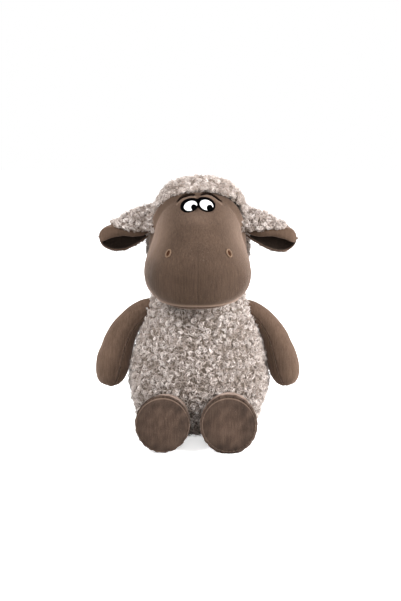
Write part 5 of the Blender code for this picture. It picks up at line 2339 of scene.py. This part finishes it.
@dataclass
class Studio:
    """The floor, the light and the camera."""

    distance: float = 1.3
    elevation: float = math.radians(11)
    target: tuple[float, float, float] = (0.0029, -0.02, 0.1545)
    focal_pixels: float = 1110.0
    picture: tuple[int, int] = (401, 601)
    white: Colour = (1.0, 1.0, 1.0, 1.0)

    def build(self) -> None:
        """Builds the studio."""
        self.build_floor()
        self.build_world()
        self.build_lamps()
        self.build_camera()

    def build_floor(self) -> None:
        """A wide white floor that keeps the toy's shadow."""
        ground = np.linspace(-4, 4, 9)
        grid = np.array([[(x, y, -0.0002) for x in ground] for y in ground])
        floor = Piece.sheet("studio_floor", grid, outside=Vector((0, 0, 1)))
        material = bpy.data.materials.new("white_paper")
        material.use_nodes = True
        graph = Graph(material.node_tree)
        spot = graph.add("TexCoord").outputs["Object"]
        grain = graph.add("TexNoise", {}, Vector=spot, Scale=900.0, Detail=2.0)
        paper = graph.blend(grain.outputs[0], (0.40, 0.40, 0.398, 1.0), (0.44, 0.44, 0.438, 1.0))
        matt = graph.add("BsdfDiffuse", {}, Color=paper)
        shadowed = graph.add("BsdfDiffuse", {}, Color=(0.92, 0.92, 0.92, 1.0))
        far = graph.add("VectorMath", {"operation": "LENGTH"}, Vector=spot).outputs["Value"]
        reach = {"From_Min": 0.35, "From_Max": 1.2, "To_Min": 0.58, "To_Max": 1.0}
        level = graph.add("MapRange", {}, Value=far, **reach).outputs[0]
        glow = graph.add("Emission", {}, Color=self.white, Strength=level)
        seen = graph.add("AddShader", {}, i0=shadowed.outputs[0], i1=glow.outputs[0])
        rays = graph.seen_directly()
        mixed = graph.add("MixShader", {}, Fac=rays, i1=matt.outputs[0], i2=seen.outputs[0])
        graph.add("OutputMaterial", {}, Surface=mixed.outputs[0])
        floor.mesh.materials.append(material)
        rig.stage(floor.item)

    def build_world(self) -> None:
        """A white ground behind the toy, and soft light from all round."""
        world = bpy.data.worlds.new("studio")
        bpy.context.scene.world = world
        world.use_nodes = True
        graph = Graph(world.node_tree)
        light = graph.add("Background", {}, Color=(1.0, 0.995, 0.99, 1.0), Strength=0.36)
        white = graph.add("Background", {}, Color=self.white, Strength=1.0)
        rays = graph.seen_directly()
        mixed = graph.add("MixShader", {}, Fac=rays, i1=light.outputs[0], i2=white.outputs[0])
        graph.add("OutputWorld", {}, Surface=mixed.outputs[0])

    def build_lamps(self) -> None:
        """A high lamp on the left, a low one on the right, and softer ones above, in front and behind."""
        lamps = (
            ("right_box", (1.25, -0.42, 0.62), 0.8, 46.0),
            ("left_box", (-0.90, -0.45, 1.15), 0.8, 29.0),
            ("top_box", (0.1, -0.1, 1.75), 1.0, 1.0),
            ("front_box", (0.15, -1.6, 0.7), 1.2, 13.6),
            ("back_box", (0.25, 1.2, 1.2), 1.0, 10.0),
        )
        for name, place, size, power in lamps:
            light = bpy.data.lights.new(name, "AREA")
            light.shape = "DISK"
            light.size = size
            light.energy = power
            lamp = bpy.data.objects.new(name, light)
            lamp.location = place
            way = Vector((0, 0, 0.14)) - lamp.location
            lamp.rotation_euler = way.to_track_quat("-Z", "Y").to_euler()
            bpy.context.scene.collection.objects.link(lamp)

    def build_camera(self) -> None:
        """The camera at the photograph's angle."""
        camera = bpy.data.cameras.new("camera")
        camera.sensor_width = 36.0
        camera.lens = self.focal_pixels * camera.sensor_width / self.picture[1]
        item = bpy.data.objects.new("camera", camera)
        back = Vector((0, -math.cos(self.elevation), math.sin(self.elevation)))
        item.location = Vector(self.target) + back * self.distance
        item.rotation_euler = (-back).to_track_quat("-Z", "Y").to_euler()
        camera.clip_start, camera.clip_end = 0.05, 30
        bpy.context.scene.collection.objects.link(item)
        bpy.context.scene.camera = item


def make_finishes() -> Finishes:
    """Makes every finish once.

    Returns:
        The finishes.
    """
    effects = Effects(nap_group(), fibre_group(), thread_group(), dust_group())
    kinds = {
        "velour": Velour("short_pile", Slot.VELOUR),
        # The arm and ear-lining pile are lighter copies of the face's short pile: painted light for how those parts
        # are lit.
        "limb": Velour("arm_pile", Slot.VELOUR, "#34271d", "#645043"),
        "lining": Velour("ear_pile", Slot.VELOUR, "#35291f", "#574438"),
        "sole": Velour("sole_pile", Slot.VELOUR, "#271c15", "#4f3e34", sheen=0.5),
        "wool": Wool("curly_wool", Slot.WOOL),
        "knit": Knit("wool_backing", Slot.WOOL),
        "black": Thread("black_thread", Slot.BLACK, "#010101", "#050506", shine=0.0),
        "white": Thread("white_thread", Slot.WHITE, "#e6e6e6", "#ffffff", roughness=(-0.15, 0.55)),
        "brown": Thread("brown_thread", Slot.BROWN, "#4e3b2d", "#755f4d", threads=1.0),
        "hole": Thread("nostril_thread", Slot.BROWN, "#22120a", "#452a18", shine=0.05, threads=1.0),
        "fold": Thread("fold_thread", Slot.BROWN, "#0a0705", "#1a120e", shine=0.0),
        "stitch": Thread("sole_thread", Slot.BROWN, "#3b2f27", "#5a4a3e"),
        "filling": Filling("fibre_filling", Slot.FILLING),
        "pellets": Filling("pellet_cloth", Slot.PELLETS, "#bdb9ab", "#dcd8ca", relief=(0.4 * MM, 0.6)),
    }
    return Finishes(**{name: kind.coat(effects) for name, kind in kinds.items()})


def main() -> None:
    """Builds the sheep and its studio, and writes both boxes."""
    logging.basicConfig(level=logging.INFO, format="%(message)s")
    scene = bpy.context.scene
    scene.view_settings.view_transform = "Standard"
    finishes = make_finishes()
    body = BodyForm()
    fleece = Fleece()
    small = Fleece(size=0.85, root=1.2, least=-0.3 * MM)
    stuffing = Stuffing()
    Body(finishes, fleece, stuffing, body).build()
    # The hood's wool has a lower tone than the body's: painted shade against the stronger light on top of the head.
    Head(finishes, Fleece(tone=0.58), stuffing, HeadForm()).build()
    for side in Side:
        Ear(finishes, small, side).build()
        Arm(finishes, stuffing, side, body).build()
        Leg(finishes, stuffing, side, body).build()
    Tail(finishes, small).build()
    Studio().build()
    boxes = [[list(corner) for corner in box] for box in (CAD_BOX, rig.bounds())]
    with open("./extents.json", "w", encoding="utf-8") as file:
        json.dump(boxes, file)
    LOG.info("boxes: %s", boxes)


if __name__ == "__main__":
    main()
